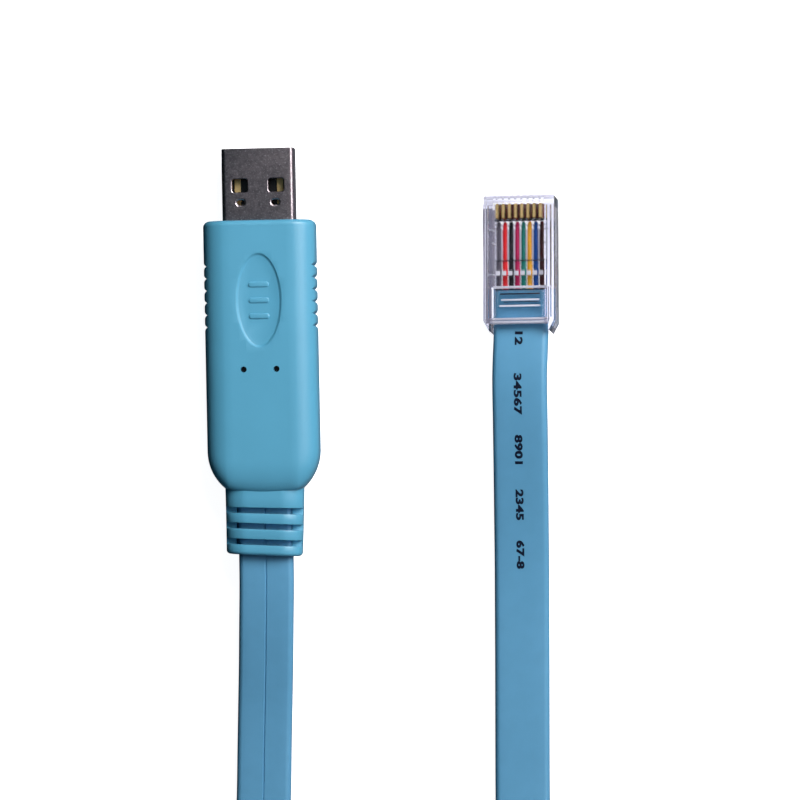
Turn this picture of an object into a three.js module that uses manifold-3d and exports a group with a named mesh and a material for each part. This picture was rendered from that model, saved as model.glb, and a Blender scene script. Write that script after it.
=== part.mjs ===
// Flat console cable: a USB-A plug in a moulded adapter housing, a flat eight-wire cable and a clear
// eight-contact modular plug. Millimetres, +Z up, +Y towards the tip of the USB plug.
// The origin is under the middle of the adapter, on the surface that everything lies on.
import * as THREE from 'three';
import { mergeVertices } from 'three/addons/utils/BufferGeometryUtils.js';
import Module from 'manifold-3d';

// Clearances
const SLIP = 0.1; // round a small piece in its seat
const SEAT_FIT = 0.2; // round the shell in the housing
const CLEAR = 0.3; // between the cable and what it passes through or meets
const PAST = 1; // how far a cutting shape runs past what it cuts

// Metal shell of the USB plug
const SHELL_WIDTH = 12.0;
const SHELL_HEIGHT = 4.5;
const SHELL_WALL = 0.3;
const SHELL_CORNER = 0.6;
const SHELL_EXPOSED = 11.9;
const SHELL_SEAT = 3.0;
const WINDOW_WIDTH = 2.7;
const WINDOW_LENGTH = 2.35;
const WINDOW_CORNER = 0.45;
const WINDOW_OFFSET = 3.0;
const WINDOW_FROM_TIP = 6.1;
const PIP_WIDTH = 1.5;
const PIP_LENGTH = 1.1;
const PIP_CORNER = 0.5;
const PIP_OFFSET = 2.85;
const PIP_FROM_HOUSING = 3.0;

// Black insulator and its gold strips
const TONGUE_THICKNESS = 1.95;
const TONGUE_SETBACK = 0.8;
const BLOCK_LENGTH = 5.6;
const STRIP_WIDTH = 1.0;
const STRIP_THICKNESS = 0.25;
const STRIP_CENTRES = [-3.5, -1.0, 1.0, 3.5];
const OUTER_STRIP_SETBACK = 1.0;
const INNER_STRIP_SETBACK = 2.0;

// Adapter housing
const HOUSING_LENGTH = 44.15;
const HOUSING_WIDTH = 18.5;
const HOUSING_HEIGHT = 9.6;
const FLAT_WIDTH = 11.4;
const SIDE_LAND = 2.8;
const FLANK_EASE = 0.6;
const FRONT_CORNER = 1.0;
const FRONT_EDGE = 0.8;
const SHOULDER_RADIUS = 8.3;
const SHOULDER_LENGTH = 6.3;
const ROLL_LENGTH = 3.3;
const ROLL_CREST = 1.0;
const REAR_BULGE = 0.6;
const GRIP_COUNT = 6;
const GRIP_PITCH = 2.0;
const GRIP_FIRST = 7.45;
const GRIP_DEPTH = 0.55;
const GRIP_WIDTH = 1.4;
const OVAL_WIDTH = 7.3;
const OVAL_LENGTH = 15.3;
const OVAL_DEPTH = 0.3;
const OVAL_FROM_FRONT = 13.2;
const LAMP_DIAMETER = 1.0;
const LAMP_OFFSET = 2.7;
const LAMP_FROM_FRONT = 24.5;
const LAMP_DEPTH = 2.0;
const LENS_THICKNESS = 0.8;

// Strain relief, moulded in one with the housing
const RELIEF_LENGTH = 10.95;
const RELIEF_WIDTH = 13.0;
const RELIEF_END_WIDTH = 12.5;
const RELIEF_HEIGHT = 6.6;
const RELIEF_FLAT = 6.4;
const RELIEF_LAND = 1.2;
const RELIEF_CORNER = 0.6;
const SLOT_COUNT = 3;
const SLOT_PITCH = 2.6;
const SLOT_FIRST = 3.6;
const SLOT_LENGTH = 1.0;
const SLOT_WEB = 2.0;
const CABLE_SEAT = 9.5;

// Flat cable and the hank that its spare length is wound into
const CABLE_WIDTH = 9.0;
const CABLE_THICKNESS = 2.6;
const CABLE_LENGTH = 1800;
const TUBE_STEP = 6;
const EDGE_STEPS = 5;
const HANK_X = 25.6;
const HANK_TOP_Y = -144;
const HANK_INNER_RADIUS = 17.2;
const HANK_PITCH = 3.2;
const HANK_HALF_TURNS = 9;
const HANK_LEAVE = 34;
const ARC_STEPS = 14;
const TIE_THICKNESS = 1.0;
const TIE_WIDTH = 10;

// Modular plug
const PLUG_WIDTH = 11.7;
const PLUG_LENGTH = 22.3;
const PLUG_HEIGHT = 6.6;
const PLUG_PITCH_ANGLE = 6;
const PLUG_ROLL_ANGLE = 6.5;
const PLUG_YAW_ANGLE = -0.9;
const PLUG_NOSE = [42.8, 24.8];
const PLUG_STEP_LENGTH = 1.6;
const PLUG_STEP_DEPTH = 0.4;
const PLUG_CHAMFER_WIDTH = 0.87;
const PLUG_CHAMFER_LENGTH = 1.65;
const LIP_SETBACK = 1.1;
const LIP_LAND = 0.12;
const JACKET_SEAT = 7.0;
const JACKET_Z = 3.4;
const CONTACT_COUNT = 8;
const CONTACT_PITCH = 1.02;
const CONTACT_THICKNESS = 0.45;
const CONTACT_FRONT = 1.3;
const CONTACT_LENGTH = 2.35;
const CONTACT_HEIGHT = 1.75;
const CONTACT_RECESS = 0.6;
const WIRE_DIAMETER = 0.84;
const WIRE_Z = 3.6;
const WIRE_FRONT = 1.6;
const ANCHOR_FROM_NOSE = 12.3;
const ANCHOR_LENGTH = 0.9;
const ANCHOR_WIDTH = 8.6;
const ANCHOR_DEPTH = 1.3;
const CRIMP_FROM_NOSE = 15.75;
const CRIMP_LENGTH = 2.75;
const CRIMP_WIDTH = 7.0;
const CRIMP_DEPTH = 1.2;
const LATCH_WIDTH = 6.0;
const LATCH_TAIL_WIDTH = 3.9;
const LATCH_WIDE_LENGTH = 8.4;
const LATCH_ROOT = 1.2;
const LATCH_SINK = 0.5;
const LATCH_END = 17.5;
const LATCH_DROP = 2.15;
const LATCH_THICKNESS = 1.1;

// Colours and finishes
const FINISH = {
  nickel: { color: 0x8b8788, roughness: 0.38, metalness: 1.0 },
  black: { color: 0x121214, roughness: 0.5, metalness: 0.0 },
  gold: { color: 0xc9a05a, roughness: 0.3, metalness: 1.0 },
  blue: { color: 0x68accb, roughness: 0.42, metalness: 0.0 },
  lens: { color: 0x0b0c10, roughness: 0.15, metalness: 0.0 },
  cable: { color: 0x5d9cc4, roughness: 0.45, metalness: 0.0 },
  strap: { color: 0x1c1d20, roughness: 0.9, metalness: 0.0 },
  clear: { color: 0xcfcfe6, roughness: 0.08, metalness: 0.0 },
};
const WIRE_COLOURS = [0x6d6b6e, 0xc4161c, 0x101014, 0x9c1247, 0x0f6a60, 0xe6a52a, 0x123a80, 0x3a1512];

// Places that follow from the sizes
const CORE_LENGTH = SHELL_EXPOSED + HOUSING_LENGTH + RELIEF_LENGTH;
const TIP_Y = CORE_LENGTH / 2;
const FRONT_Y = TIP_Y - SHELL_EXPOSED;
const NECK_Y = FRONT_Y - HOUSING_LENGTH;
const MOUTH_Y = NECK_Y - RELIEF_LENGTH;
const MID_Z = HOUSING_HEIGHT / 2;
const HANK_BASE_Z = TIE_THICKNESS + CLEAR;
const HANK_MID_Z = HANK_BASE_Z + CABLE_WIDTH / 2;
const HANK_OUTER_RADIUS = HANK_INNER_RADIUS + (HANK_HALF_TURNS * HANK_PITCH) / 2;
const HANK_LEAVE_Y = HANK_TOP_Y - HANK_LEAVE;

const model = new THREE.Group();
const wasm = await Module();
wasm.setup();

// A closed geometry as a solid that can be joined and cut.
function solid(geometry) {
  geometry.deleteAttribute('normal');
  geometry.deleteAttribute('uv');
  const merged = mergeVertices(geometry, 1e-4);
  const mesh = new wasm.Mesh({
    numProp: 3,
    vertProperties: new Float32Array(merged.attributes.position.array),
    triVerts: new Uint32Array(merged.index.array),
  });
  return new wasm.Manifold(mesh);
}

function geometryOf(body) {
  const { vertProperties, triVerts } = body.getMesh();
  const geometry = new THREE.BufferGeometry();
  geometry.setAttribute('position', new THREE.BufferAttribute(vertProperties, 3));
  geometry.setIndex(new THREE.BufferAttribute(triVerts, 1));
  return geometry;
}

function piece(name, geometry, finish, parent = model) {
  const mesh = new THREE.Mesh(geometry, new THREE.MeshStandardMaterial(finish));
  mesh.name = name;
  parent.add(mesh);
  return mesh;
}

// A box between two corners.
function block([x0, y0, z0], [x1, y1, z1]) {
  const box = new THREE.BoxGeometry(x1 - x0, y1 - y0, z1 - z0);
  return box.translate((x0 + x1) / 2, (y0 + y1) / 2, (z0 + z1) / 2);
}

// A rectangle with round corners, centred on (x, y).
function roundRectangle(width, height, radius, x = 0, y = 0) {
  const shape = new THREE.Shape();
  const [a, b] = [width / 2 - radius, height / 2 - radius];
  shape.absarc(x + a, y + b, radius, 0, Math.PI / 2);
  shape.absarc(x - a, y + b, radius, Math.PI / 2, Math.PI);
  shape.absarc(x - a, y - b, radius, Math.PI, 1.5 * Math.PI);
  shape.absarc(x + a, y - b, radius, 1.5 * Math.PI, 2 * Math.PI);
  return shape;
}

// A shape drawn in X and Y, extruded up from z0 to z1.
function upright(shape, z0, z1, curveSegments = 6) {
  const options = { depth: z1 - z0, bevelEnabled: false, curveSegments };
  return new THREE.ExtrudeGeometry(shape, options).translate(0, 0, z0);
}

// A shape drawn in X and Z, extruded along Y from y0 to y1.
function lengthwise(shape, y0, y1, curveSegments = 6) {
  const options = { depth: y1 - y0, bevelEnabled: false, curveSegments };
  return new THREE.ExtrudeGeometry(shape, options).rotateX(Math.PI / 2).translate(0, y1, 0);
}

// A shape drawn in Y and Z, extruded across X over the given width.
function crosswise(shape, width, curveSegments = 6) {
  const options = { depth: width, bevelEnabled: false, curveSegments };
  const body = new THREE.ExtrudeGeometry(shape, options).translate(0, 0, -width / 2);
  return body.rotateX(Math.PI / 2).rotateZ(Math.PI / 2);
}

// Both broad sides of the shell have two windows and two D holes.
function shellOpenings() {
  const windowY = TIP_Y - WINDOW_FROM_TIP;
  const pipY = FRONT_Y + PIP_FROM_HOUSING;
  return [-1, 1].flatMap((side) => [
    roundRectangle(WINDOW_WIDTH, WINDOW_LENGTH, WINDOW_CORNER, side * WINDOW_OFFSET, windowY),
    roundRectangle(PIP_WIDTH, PIP_LENGTH, PIP_CORNER, side * PIP_OFFSET, pipY),
  ]);
}

function shell() {
  const outer = roundRectangle(SHELL_WIDTH, SHELL_HEIGHT, SHELL_CORNER, 0, MID_Z);
  const inside = [SHELL_WIDTH - 2 * SHELL_WALL, SHELL_HEIGHT - 2 * SHELL_WALL];
  outer.holes.push(roundRectangle(...inside, SHELL_CORNER - SHELL_WALL, 0, MID_Z));
  let body = solid(lengthwise(outer, FRONT_Y - SHELL_SEAT, TIP_Y, 4));
  for (const opening of shellOpenings()) {
    body = body.subtract(solid(upright(opening, -PAST, HOUSING_HEIGHT, 3)));
  }
  return geometryOf(body);
}

// The tongue lies on the flat of the shell's lower side, and its block fills the rear.
const INSULATOR_HALF = SHELL_WIDTH / 2 - Math.max(SHELL_CORNER, SHELL_WALL + SLIP);
const TONGUE_BASE_Z = MID_Z - SHELL_HEIGHT / 2 + SHELL_WALL;
const TONGUE_TOP_Z = TONGUE_BASE_Z + TONGUE_THICKNESS;
const BLOCK_TOP_Z = MID_Z + SHELL_HEIGHT / 2 - SHELL_WALL - SEAT_FIT;
const BLOCK_BACK_Y = FRONT_Y - SHELL_SEAT;
const BLOCK_FRONT_Y = BLOCK_BACK_Y + BLOCK_LENGTH;

function insulator() {
  const side = new THREE.Shape();
  side.moveTo(BLOCK_BACK_Y, TONGUE_BASE_Z);
  side.lineTo(TIP_Y - TONGUE_SETBACK, TONGUE_BASE_Z);
  side.lineTo(TIP_Y - TONGUE_SETBACK, TONGUE_TOP_Z);
  side.lineTo(BLOCK_FRONT_Y, TONGUE_TOP_Z);
  side.lineTo(BLOCK_FRONT_Y, BLOCK_TOP_Z);
  side.lineTo(BLOCK_BACK_Y, BLOCK_TOP_Z);
  side.closePath();
  return crosswise(side, 2 * INSULATOR_HALF);
}

function strip(x) {
  const outer = Math.abs(x) > 2 * STRIP_WIDTH;
  const end = TIP_Y - TONGUE_SETBACK - (outer ? OUTER_STRIP_SETBACK : INNER_STRIP_SETBACK);
  const low = [x - STRIP_WIDTH / 2, BLOCK_FRONT_Y, TONGUE_TOP_Z];
  return block(low, [x + STRIP_WIDTH / 2, end, TONGUE_TOP_Z + STRIP_THICKNESS]);
}

// The housing seen from above: round front corners, grip notches down each side, shoulders that close
// in to the strain relief, and a rear edge that bulges over it.
function housingPlan() {
  const half = HOUSING_WIDTH / 2;
  const shoulderY = NECK_Y + SHOULDER_LENGTH;
  const reach = Math.asin(SHOULDER_LENGTH / SHOULDER_RADIUS);
  const plan = new THREE.Shape();
  plan.absarc(half - FRONT_CORNER, FRONT_Y - FRONT_CORNER, FRONT_CORNER, 0, Math.PI / 2);
  plan.absarc(-half + FRONT_CORNER, FRONT_Y - FRONT_CORNER, FRONT_CORNER, Math.PI / 2, Math.PI);
  for (let i = 0; i < GRIP_COUNT; i++) {
    notch(plan, -half, FRONT_Y - GRIP_FIRST - i * GRIP_PITCH, -1);
  }
  plan.absarc(-half + SHOULDER_RADIUS, shoulderY, SHOULDER_RADIUS, Math.PI, Math.PI + reach);
  const inset = SHOULDER_RADIUS * (1 - Math.cos(reach));
  plan.quadraticCurveTo(0, NECK_Y - 2 * REAR_BULGE, half - inset, NECK_Y);
  plan.absarc(half - SHOULDER_RADIUS, shoulderY, SHOULDER_RADIUS, -reach, 0);
  for (let i = GRIP_COUNT - 1; i >= 0; i--) {
    notch(plan, half, FRONT_Y - GRIP_FIRST - i * GRIP_PITCH, 1);
  }
  plan.closePath();
  return plan;
}

// A pointed notch with round shoulders in a straight side, drawn in the direction that the outline runs.
function notch(plan, x, y, direction) {
  const apex = x - Math.sign(x) * GRIP_DEPTH;
  const lip = (direction * GRIP_WIDTH) / 2;
  plan.lineTo(x, y - lip);
  plan.quadraticCurveTo(x, y - lip / 2, apex, y);
  plan.quadraticCurveTo(x, y + lip / 2, x, y + lip);
}

// The moulding cut across: flat top and bottom, curved flanks and a vertical land on each side.
function flankedSection(width, height, flatWidth, sideLand) {
  const [half, flat, land] = [width / 2, flatWidth / 2, sideLand / 2];
  const top = height / 2;
  const bend = top - FLANK_EASE;
  const section = new THREE.Shape();
  section.moveTo(half, MID_Z - land);
  section.lineTo(half, MID_Z + land);
  section.quadraticCurveTo(half, MID_Z + bend, flat, MID_Z + top);
  section.lineTo(-flat, MID_Z + top);
  section.quadraticCurveTo(-half, MID_Z + bend, -half, MID_Z + land);
  section.lineTo(-half, MID_Z - land);
  section.quadraticCurveTo(-half, MID_Z - bend, -flat, MID_Z - top);
  section.lineTo(flat, MID_Z - top);
  section.quadraticCurveTo(half, MID_Z - bend, half, MID_Z - land);
  return section;
}

// The housing from the side: round front edges, and a rear that rolls down to the strain relief.
function housingSide() {
  const [top, edge] = [HOUSING_HEIGHT, FRONT_EDGE];
  const [high, low] = [MID_Z + RELIEF_HEIGHT / 2, MID_Z - RELIEF_HEIGHT / 2];
  const [start, end] = [NECK_Y + ROLL_LENGTH, NECK_Y - REAR_BULGE];
  const side = new THREE.Shape();
  side.absarc(FRONT_Y - edge, edge, edge, -Math.PI / 2, 0);
  side.absarc(FRONT_Y - edge, top - edge, edge, 0, Math.PI / 2);
  side.lineTo(start, top);
  side.quadraticCurveTo(end + ROLL_CREST, top, end, high);
  side.lineTo(end, low);
  side.quadraticCurveTo(end + ROLL_CREST, 0, start, 0);
  side.closePath();
  return side;
}

// The strain relief tapers slightly in plan. Slots cross its upper face, and those of its lower face
// stand half a pitch further forward.
function relief() {
  const [wide, narrow] = [RELIEF_WIDTH / 2, RELIEF_END_WIDTH / 2];
  const plan = new THREE.Shape();
  plan.moveTo(wide, NECK_Y + ROLL_LENGTH);
  plan.lineTo(-wide, NECK_Y + ROLL_LENGTH);
  plan.lineTo(-wide, NECK_Y);
  plan.absarc(-narrow + RELIEF_CORNER, MOUTH_Y + RELIEF_CORNER, RELIEF_CORNER, Math.PI, 1.5 * Math.PI);
  plan.absarc(narrow - RELIEF_CORNER, MOUTH_Y + RELIEF_CORNER, RELIEF_CORNER, 1.5 * Math.PI, 2 * Math.PI);
  plan.lineTo(wide, NECK_Y);
  plan.closePath();
  const section = flankedSection(RELIEF_WIDTH, RELIEF_HEIGHT, RELIEF_FLAT, RELIEF_LAND);
  let body = solid(upright(plan, 0, HOUSING_HEIGHT, 4));
  body = body.intersect(solid(lengthwise(section, MOUTH_Y - PAST, NECK_Y + ROLL_LENGTH + PAST, 5)));
  for (let i = 0; i < SLOT_COUNT; i++) {
    const front = NECK_Y - SLOT_FIRST - i * SLOT_PITCH + SLOT_LENGTH / 2;
    body = body.subtract(solid(slot(front, MID_Z + SLOT_WEB / 2, HOUSING_HEIGHT)));
    body = body.subtract(solid(slot(front + SLOT_PITCH / 2, 0, MID_Z - SLOT_WEB / 2)));
  }
  return body;
}

function slot(front, z0, z1) {
  const half = RELIEF_WIDTH / 2 + PAST;
  return block([-half, front - SLOT_LENGTH, z0], [half, front, z1]);
}

function lampHole(x, diameter, z0, z1) {
  const radius = diameter / 2;
  const hole = new THREE.CylinderGeometry(radius, radius, z1 - z0, 12).rotateX(Math.PI / 2);
  return hole.translate(x, FRONT_Y - LAMP_FROM_FRONT, (z0 + z1) / 2);
}

function housing() {
  let body = solid(upright(housingPlan(), 0, HOUSING_HEIGHT, 6));
  const section = flankedSection(HOUSING_WIDTH, HOUSING_HEIGHT, FLAT_WIDTH, SIDE_LAND);
  body = body.intersect(solid(lengthwise(section, NECK_Y - PAST, FRONT_Y + PAST, 6)));
  body = body.intersect(solid(crosswise(housingSide(), HOUSING_WIDTH + 2 * PAST, 5)));
  body = body.add(relief());

  const pocket = [SHELL_WIDTH + 2 * SEAT_FIT, SHELL_HEIGHT + 2 * SEAT_FIT, SHELL_CORNER + SEAT_FIT];
  const seatY = FRONT_Y - SHELL_SEAT - SEAT_FIT;
  body = body.subtract(solid(lengthwise(roundRectangle(...pocket, 0, MID_Z), seatY, FRONT_Y + PAST, 3)));

  const channel = [CABLE_WIDTH + 2 * CLEAR, CABLE_THICKNESS + 2 * CLEAR, CABLE_THICKNESS / 2];
  const channelY = MOUTH_Y + CABLE_SEAT + CLEAR;
  const bore = roundRectangle(...channel, 0, MID_Z);
  body = body.subtract(solid(lengthwise(bore, MOUTH_Y - PAST, channelY, 4)));

  const oval = new THREE.Shape();
  oval.absellipse(0, FRONT_Y - OVAL_FROM_FRONT, OVAL_WIDTH / 2, OVAL_LENGTH / 2, 0, 2 * Math.PI);
  body = body.subtract(solid(upright(oval, HOUSING_HEIGHT - OVAL_DEPTH, HOUSING_HEIGHT + PAST, 14)));

  for (const x of [-LAMP_OFFSET, LAMP_OFFSET]) {
    const hole = lampHole(x, LAMP_DIAMETER, HOUSING_HEIGHT - LAMP_DEPTH, HOUSING_HEIGHT + PAST);
    body = body.subtract(solid(hole));
  }
  return geometryOf(body);
}

// A route through hand-chosen stations. Each station is x, y, z and the turn in degrees of the grooved
// face about the cable: 0 is up, 90 faces the cable's left and 180 is down.
class Route extends THREE.Curve {
  constructor(stations) {
    super();
    this.line = new THREE.CatmullRomCurve3(stations.map(([x, y, z]) => new THREE.Vector3(x, y, z)));
    this.turns = stations.map((station) => THREE.MathUtils.degToRad(station[3]));
  }

  getPoint(t, target = new THREE.Vector3()) {
    return this.line.getPoint(t, target);
  }

  turnAt(t) {
    const at = t * (this.turns.length - 1);
    const before = Math.min(Math.floor(at), this.turns.length - 2);
    return THREE.MathUtils.lerp(this.turns[before], this.turns[before + 1], at - before);
  }

  computeFrenetFrames(segments) {
    const frames = { tangents: [], normals: [], binormals: [] };
    for (let i = 0; i <= segments; i++) {
      const t = this.getUtoTmapping(i / segments);
      const tangent = this.getTangent(t);
      const left = new THREE.Vector3(0, 0, 1).cross(tangent).normalize();
      const up = tangent.clone().cross(left);
      const turn = this.turnAt(t);
      const normal = up.multiplyScalar(Math.cos(turn)).addScaledVector(left, Math.sin(turn));
      frames.tangents.push(tangent);
      frames.normals.push(normal);
      frames.binormals.push(tangent.clone().cross(normal));
    }
    return frames;
  }
}

// The cable cut across: thickness along X and width along Y, with round edges.
function cableSection() {
  const radius = CABLE_THICKNESS / 2;
  const reach = CABLE_WIDTH / 2 - radius;
  const points = [];
  for (const side of [1, -1]) {
    for (let i = 0; i <= EDGE_STEPS; i++) {
      const angle = (Math.PI * i) / EDGE_STEPS;
      const [x, y] = [radius * Math.cos(angle), reach + radius * Math.sin(angle)];
      points.push(new THREE.Vector2(side * x, side * y));
    }
  }
  return new THREE.Shape(points);
}

function tube(route) {
  const steps = Math.ceil(route.getLength() / TUBE_STEP);
  return new THREE.ExtrudeGeometry(cableSection(), { steps, extrudePath: route });
}

// The radius of the hank's winding after some half turns.
function windingRadius(halfTurns) {
  return HANK_OUTER_RADIUS - (halfTurns * HANK_PITCH) / 2;
}

// The length of all the hank's half turns together.
function arcsLength() {
  let total = 0;
  for (let i = 0; i < HANK_HALF_TURNS; i++) total += Math.PI * windingRadius(i + 0.5);
  return total;
}

// Half turns are numbered from the outside. Even ones run round the far end and odd ones round the
// near end, where the cable comes in. offset moves the line out or in from the middle of the cable.
function windingArc(number, offset, far) {
  const points = [];
  for (let i = 0; i <= ARC_STEPS; i++) {
    const angle = Math.PI * (number % 2 ? 0 : 1) + (Math.PI * i) / ARC_STEPS;
    const radius = windingRadius(number + i / ARC_STEPS) + offset;
    const y = number % 2 ? HANK_TOP_Y : HANK_TOP_Y - far;
    points.push(new THREE.Vector2(HANK_X + radius * Math.cos(angle), y + radius * Math.sin(angle)));
  }
  return points;
}

// The outline of the whole winding, with a ledge where each free length of cable joins it.
function hank(straight) {
  const half = CABLE_THICKNESS / 2;
  const outside = [
    new THREE.Vector2(HANK_X - windingRadius(0) - half, HANK_TOP_Y),
    ...windingArc(0, half, straight),
    ...windingArc(1, half, straight),
  ];
  const last = HANK_HALF_TURNS - 1;
  const inside = [
    ...windingArc(last - 1, -half, straight),
    ...windingArc(last, -half, straight),
    new THREE.Vector2(HANK_X + windingRadius(last + 1) - half, HANK_LEAVE_Y),
    new THREE.Vector2(HANK_X + windingRadius(last - 1) - half, HANK_LEAVE_Y),
  ];
  const outline = new THREE.Shape(outside);
  outline.holes.push(new THREE.Path(inside));
  return upright(outline, HANK_BASE_Z, HANK_BASE_Z + CABLE_WIDTH);
}

// A strap round one side of the hank.
function tie(x, width, straight) {
  const [inner, height] = [width + 2 * CLEAR, CABLE_WIDTH + 2 * CLEAR];
  const [across, tall] = [inner + 2 * TIE_THICKNESS, height + 2 * TIE_THICKNESS];
  const ring = roundRectangle(across, tall, TIE_THICKNESS + CLEAR, x, HANK_MID_Z);
  ring.holes.push(roundRectangle(inner, height, CLEAR, x, HANK_MID_Z));
  const y = HANK_TOP_Y - straight / 2;
  return lengthwise(ring, y - TIE_WIDTH / 2, y + TIE_WIDTH / 2, 3);
}

// The plug's own frame: Y along the plug with the nose at 0, Z up from the latch side to the contacts.
const plug = new THREE.Group();
const plugTurn = [-PLUG_PITCH_ANGLE, -PLUG_ROLL_ANGLE, PLUG_YAW_ANGLE].map(THREE.MathUtils.degToRad);
plug.rotation.set(...plugTurn, 'ZXY');
model.add(plug);

const CONTACT_TOP_Z = PLUG_HEIGHT - CONTACT_RECESS;
const CONTACT_BASE_Z = CONTACT_TOP_Z - CONTACT_HEIGHT;
const JACKET_END = PLUG_LENGTH - JACKET_SEAT;
const CHAMBER_HALF = (CONTACT_COUNT * CONTACT_PITCH) / 2 + SLIP;
const FIRST_CONTACT_X = (-(CONTACT_COUNT - 1) * CONTACT_PITCH) / 2;
const CONTACT_CENTRES = Array(CONTACT_COUNT)
  .fill(FIRST_CONTACT_X)
  .map((first, i) => first + i * CONTACT_PITCH);

function latch() {
  const slope = LATCH_DROP / (LATCH_END - LATCH_ROOT);
  const side = new THREE.Shape();
  side.moveTo(-LATCH_ROOT, LATCH_SINK);
  side.lineTo(-LATCH_ROOT, 0);
  side.lineTo(-LATCH_END, -LATCH_DROP);
  side.lineTo(-LATCH_END, -LATCH_DROP + LATCH_THICKNESS);
  side.lineTo(-LATCH_ROOT - LATCH_THICKNESS / slope, 0);
  side.lineTo(-LATCH_ROOT - LATCH_THICKNESS / slope, LATCH_SINK);
  side.closePath();
  let body = solid(crosswise(side, LATCH_WIDTH));
  for (const hand of [-1, 1]) {
    const [near, far] = [(hand * LATCH_TAIL_WIDTH) / 2, hand * LATCH_WIDTH];
    const low = [Math.min(near, far), -LATCH_END - PAST, -LATCH_DROP - PAST];
    body = body.subtract(solid(block(low, [Math.max(near, far), -LATCH_WIDE_LENGTH, 0])));
  }
  return body;
}

function plugPlan() {
  const [half, back] = [PLUG_WIDTH / 2, -PLUG_LENGTH];
  const [inset, rise] = [PLUG_CHAMFER_WIDTH, PLUG_CHAMFER_LENGTH];
  const lip = half - inset - LIP_LAND;
  const plan = new THREE.Shape();
  plan.moveTo(half, 0);
  plan.lineTo(-half, 0);
  plan.lineTo(-half, back + rise);
  plan.lineTo(-half + inset, back);
  plan.lineTo(-lip, back);
  plan.lineTo(-lip, back + LIP_SETBACK);
  plan.lineTo(lip, back + LIP_SETBACK);
  plan.lineTo(lip, back);
  plan.lineTo(half - inset, back);
  plan.lineTo(half, back + rise);
  plan.closePath();
  return plan;
}

function plugBody() {
  const top = PLUG_HEIGHT;
  let body = solid(upright(plugPlan(), 0, top)).add(latch());
  const jacketHole = [CABLE_WIDTH + 2 * CLEAR, CABLE_THICKNESS + 2 * CLEAR, CABLE_THICKNESS / 2];
  const jacketSeat = roundRectangle(...jacketHole, 0, JACKET_Z);
  const cuts = [
    lengthwise(jacketSeat, -PLUG_LENGTH - PAST, -JACKET_END + CLEAR, 4),
    // the chamber of the wires
    block(
      [-CHAMBER_HALF, -JACKET_END - CLEAR, WIRE_Z - WIRE_DIAMETER / 2 - SLIP],
      [CHAMBER_HALF, -WIRE_FRONT + SLIP, CONTACT_BASE_Z - SLIP],
    ),
    // the windows that the two bars are pressed through
    block(
      [-ANCHOR_WIDTH / 2, -ANCHOR_FROM_NOSE - ANCHOR_LENGTH, top - ANCHOR_DEPTH],
      [ANCHOR_WIDTH / 2, -ANCHOR_FROM_NOSE, top + PAST],
    ),
    block(
      [-CRIMP_WIDTH / 2, -CRIMP_FROM_NOSE - CRIMP_LENGTH, top - CRIMP_DEPTH],
      [CRIMP_WIDTH / 2, -CRIMP_FROM_NOSE, top + PAST],
    ),
  ];
  for (const x of CONTACT_CENTRES) {
    const half = CONTACT_THICKNESS / 2 + SLIP;
    const low = [x - half, -CONTACT_FRONT - CONTACT_LENGTH - SLIP, WIRE_Z];
    cuts.push(block(low, [x + half, -CONTACT_FRONT + SLIP, top + PAST]));
  }
  for (const hand of [-1, 1]) {
    const [near, far] = [hand * CHAMBER_HALF, hand * PLUG_WIDTH];
    const low = [Math.min(near, far), -PLUG_STEP_LENGTH, top - PLUG_STEP_DEPTH];
    cuts.push(block(low, [Math.max(near, far), PAST, top + PAST]));
  }
  for (const cut of cuts) body = body.subtract(solid(cut));
  return geometryOf(body);
}

function contactBlade(x) {
  const back = -CONTACT_FRONT - CONTACT_LENGTH;
  const low = [x - CONTACT_THICKNESS / 2, back, CONTACT_BASE_Z];
  return block(low, [x + CONTACT_THICKNESS / 2, -CONTACT_FRONT, CONTACT_TOP_Z]);
}

function wire(x) {
  const radius = WIRE_DIAMETER / 2;
  const length = JACKET_END - WIRE_FRONT;
  const body = new THREE.CylinderGeometry(radius, radius, length, 10);
  return body.translate(x, -WIRE_FRONT - length / 2, WIRE_Z);
}

// The USB end of the cable, from its seat in the strain relief to the outermost turn of the hank.
const USB_ROUTE = [
  [0, MOUTH_Y + CABLE_SEAT, MID_Z, 0],
  [0, MOUTH_Y, MID_Z, 0],
  [-0.05, -38.5, 4.65, 0],
  [-0.3, -45, 4.0, 0],
  [-0.6, -52, 2.9, 0],
  [-0.95, -59, 1.9, 0],
  [-1.25, -66, 1.46, 0],
  [-1.5, -73, 1.36, 0],
  [-1.8, -79, 1.46, 1],
  [-2.3, -86, 2.05, 10],
  [-3.1, -94, 3.1, 28],
  [-3.9, -102, 4.1, 50],
  [-4.8, -110, 4.95, 70],
  [-5.5, -118, 5.5, 83],
  [-5.9, -127, 5.75, 89],
  [-6.0, -136, 5.8, 90],
  [-6.0, HANK_TOP_Y + CLEAR, HANK_MID_Z, 90],
];

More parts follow.
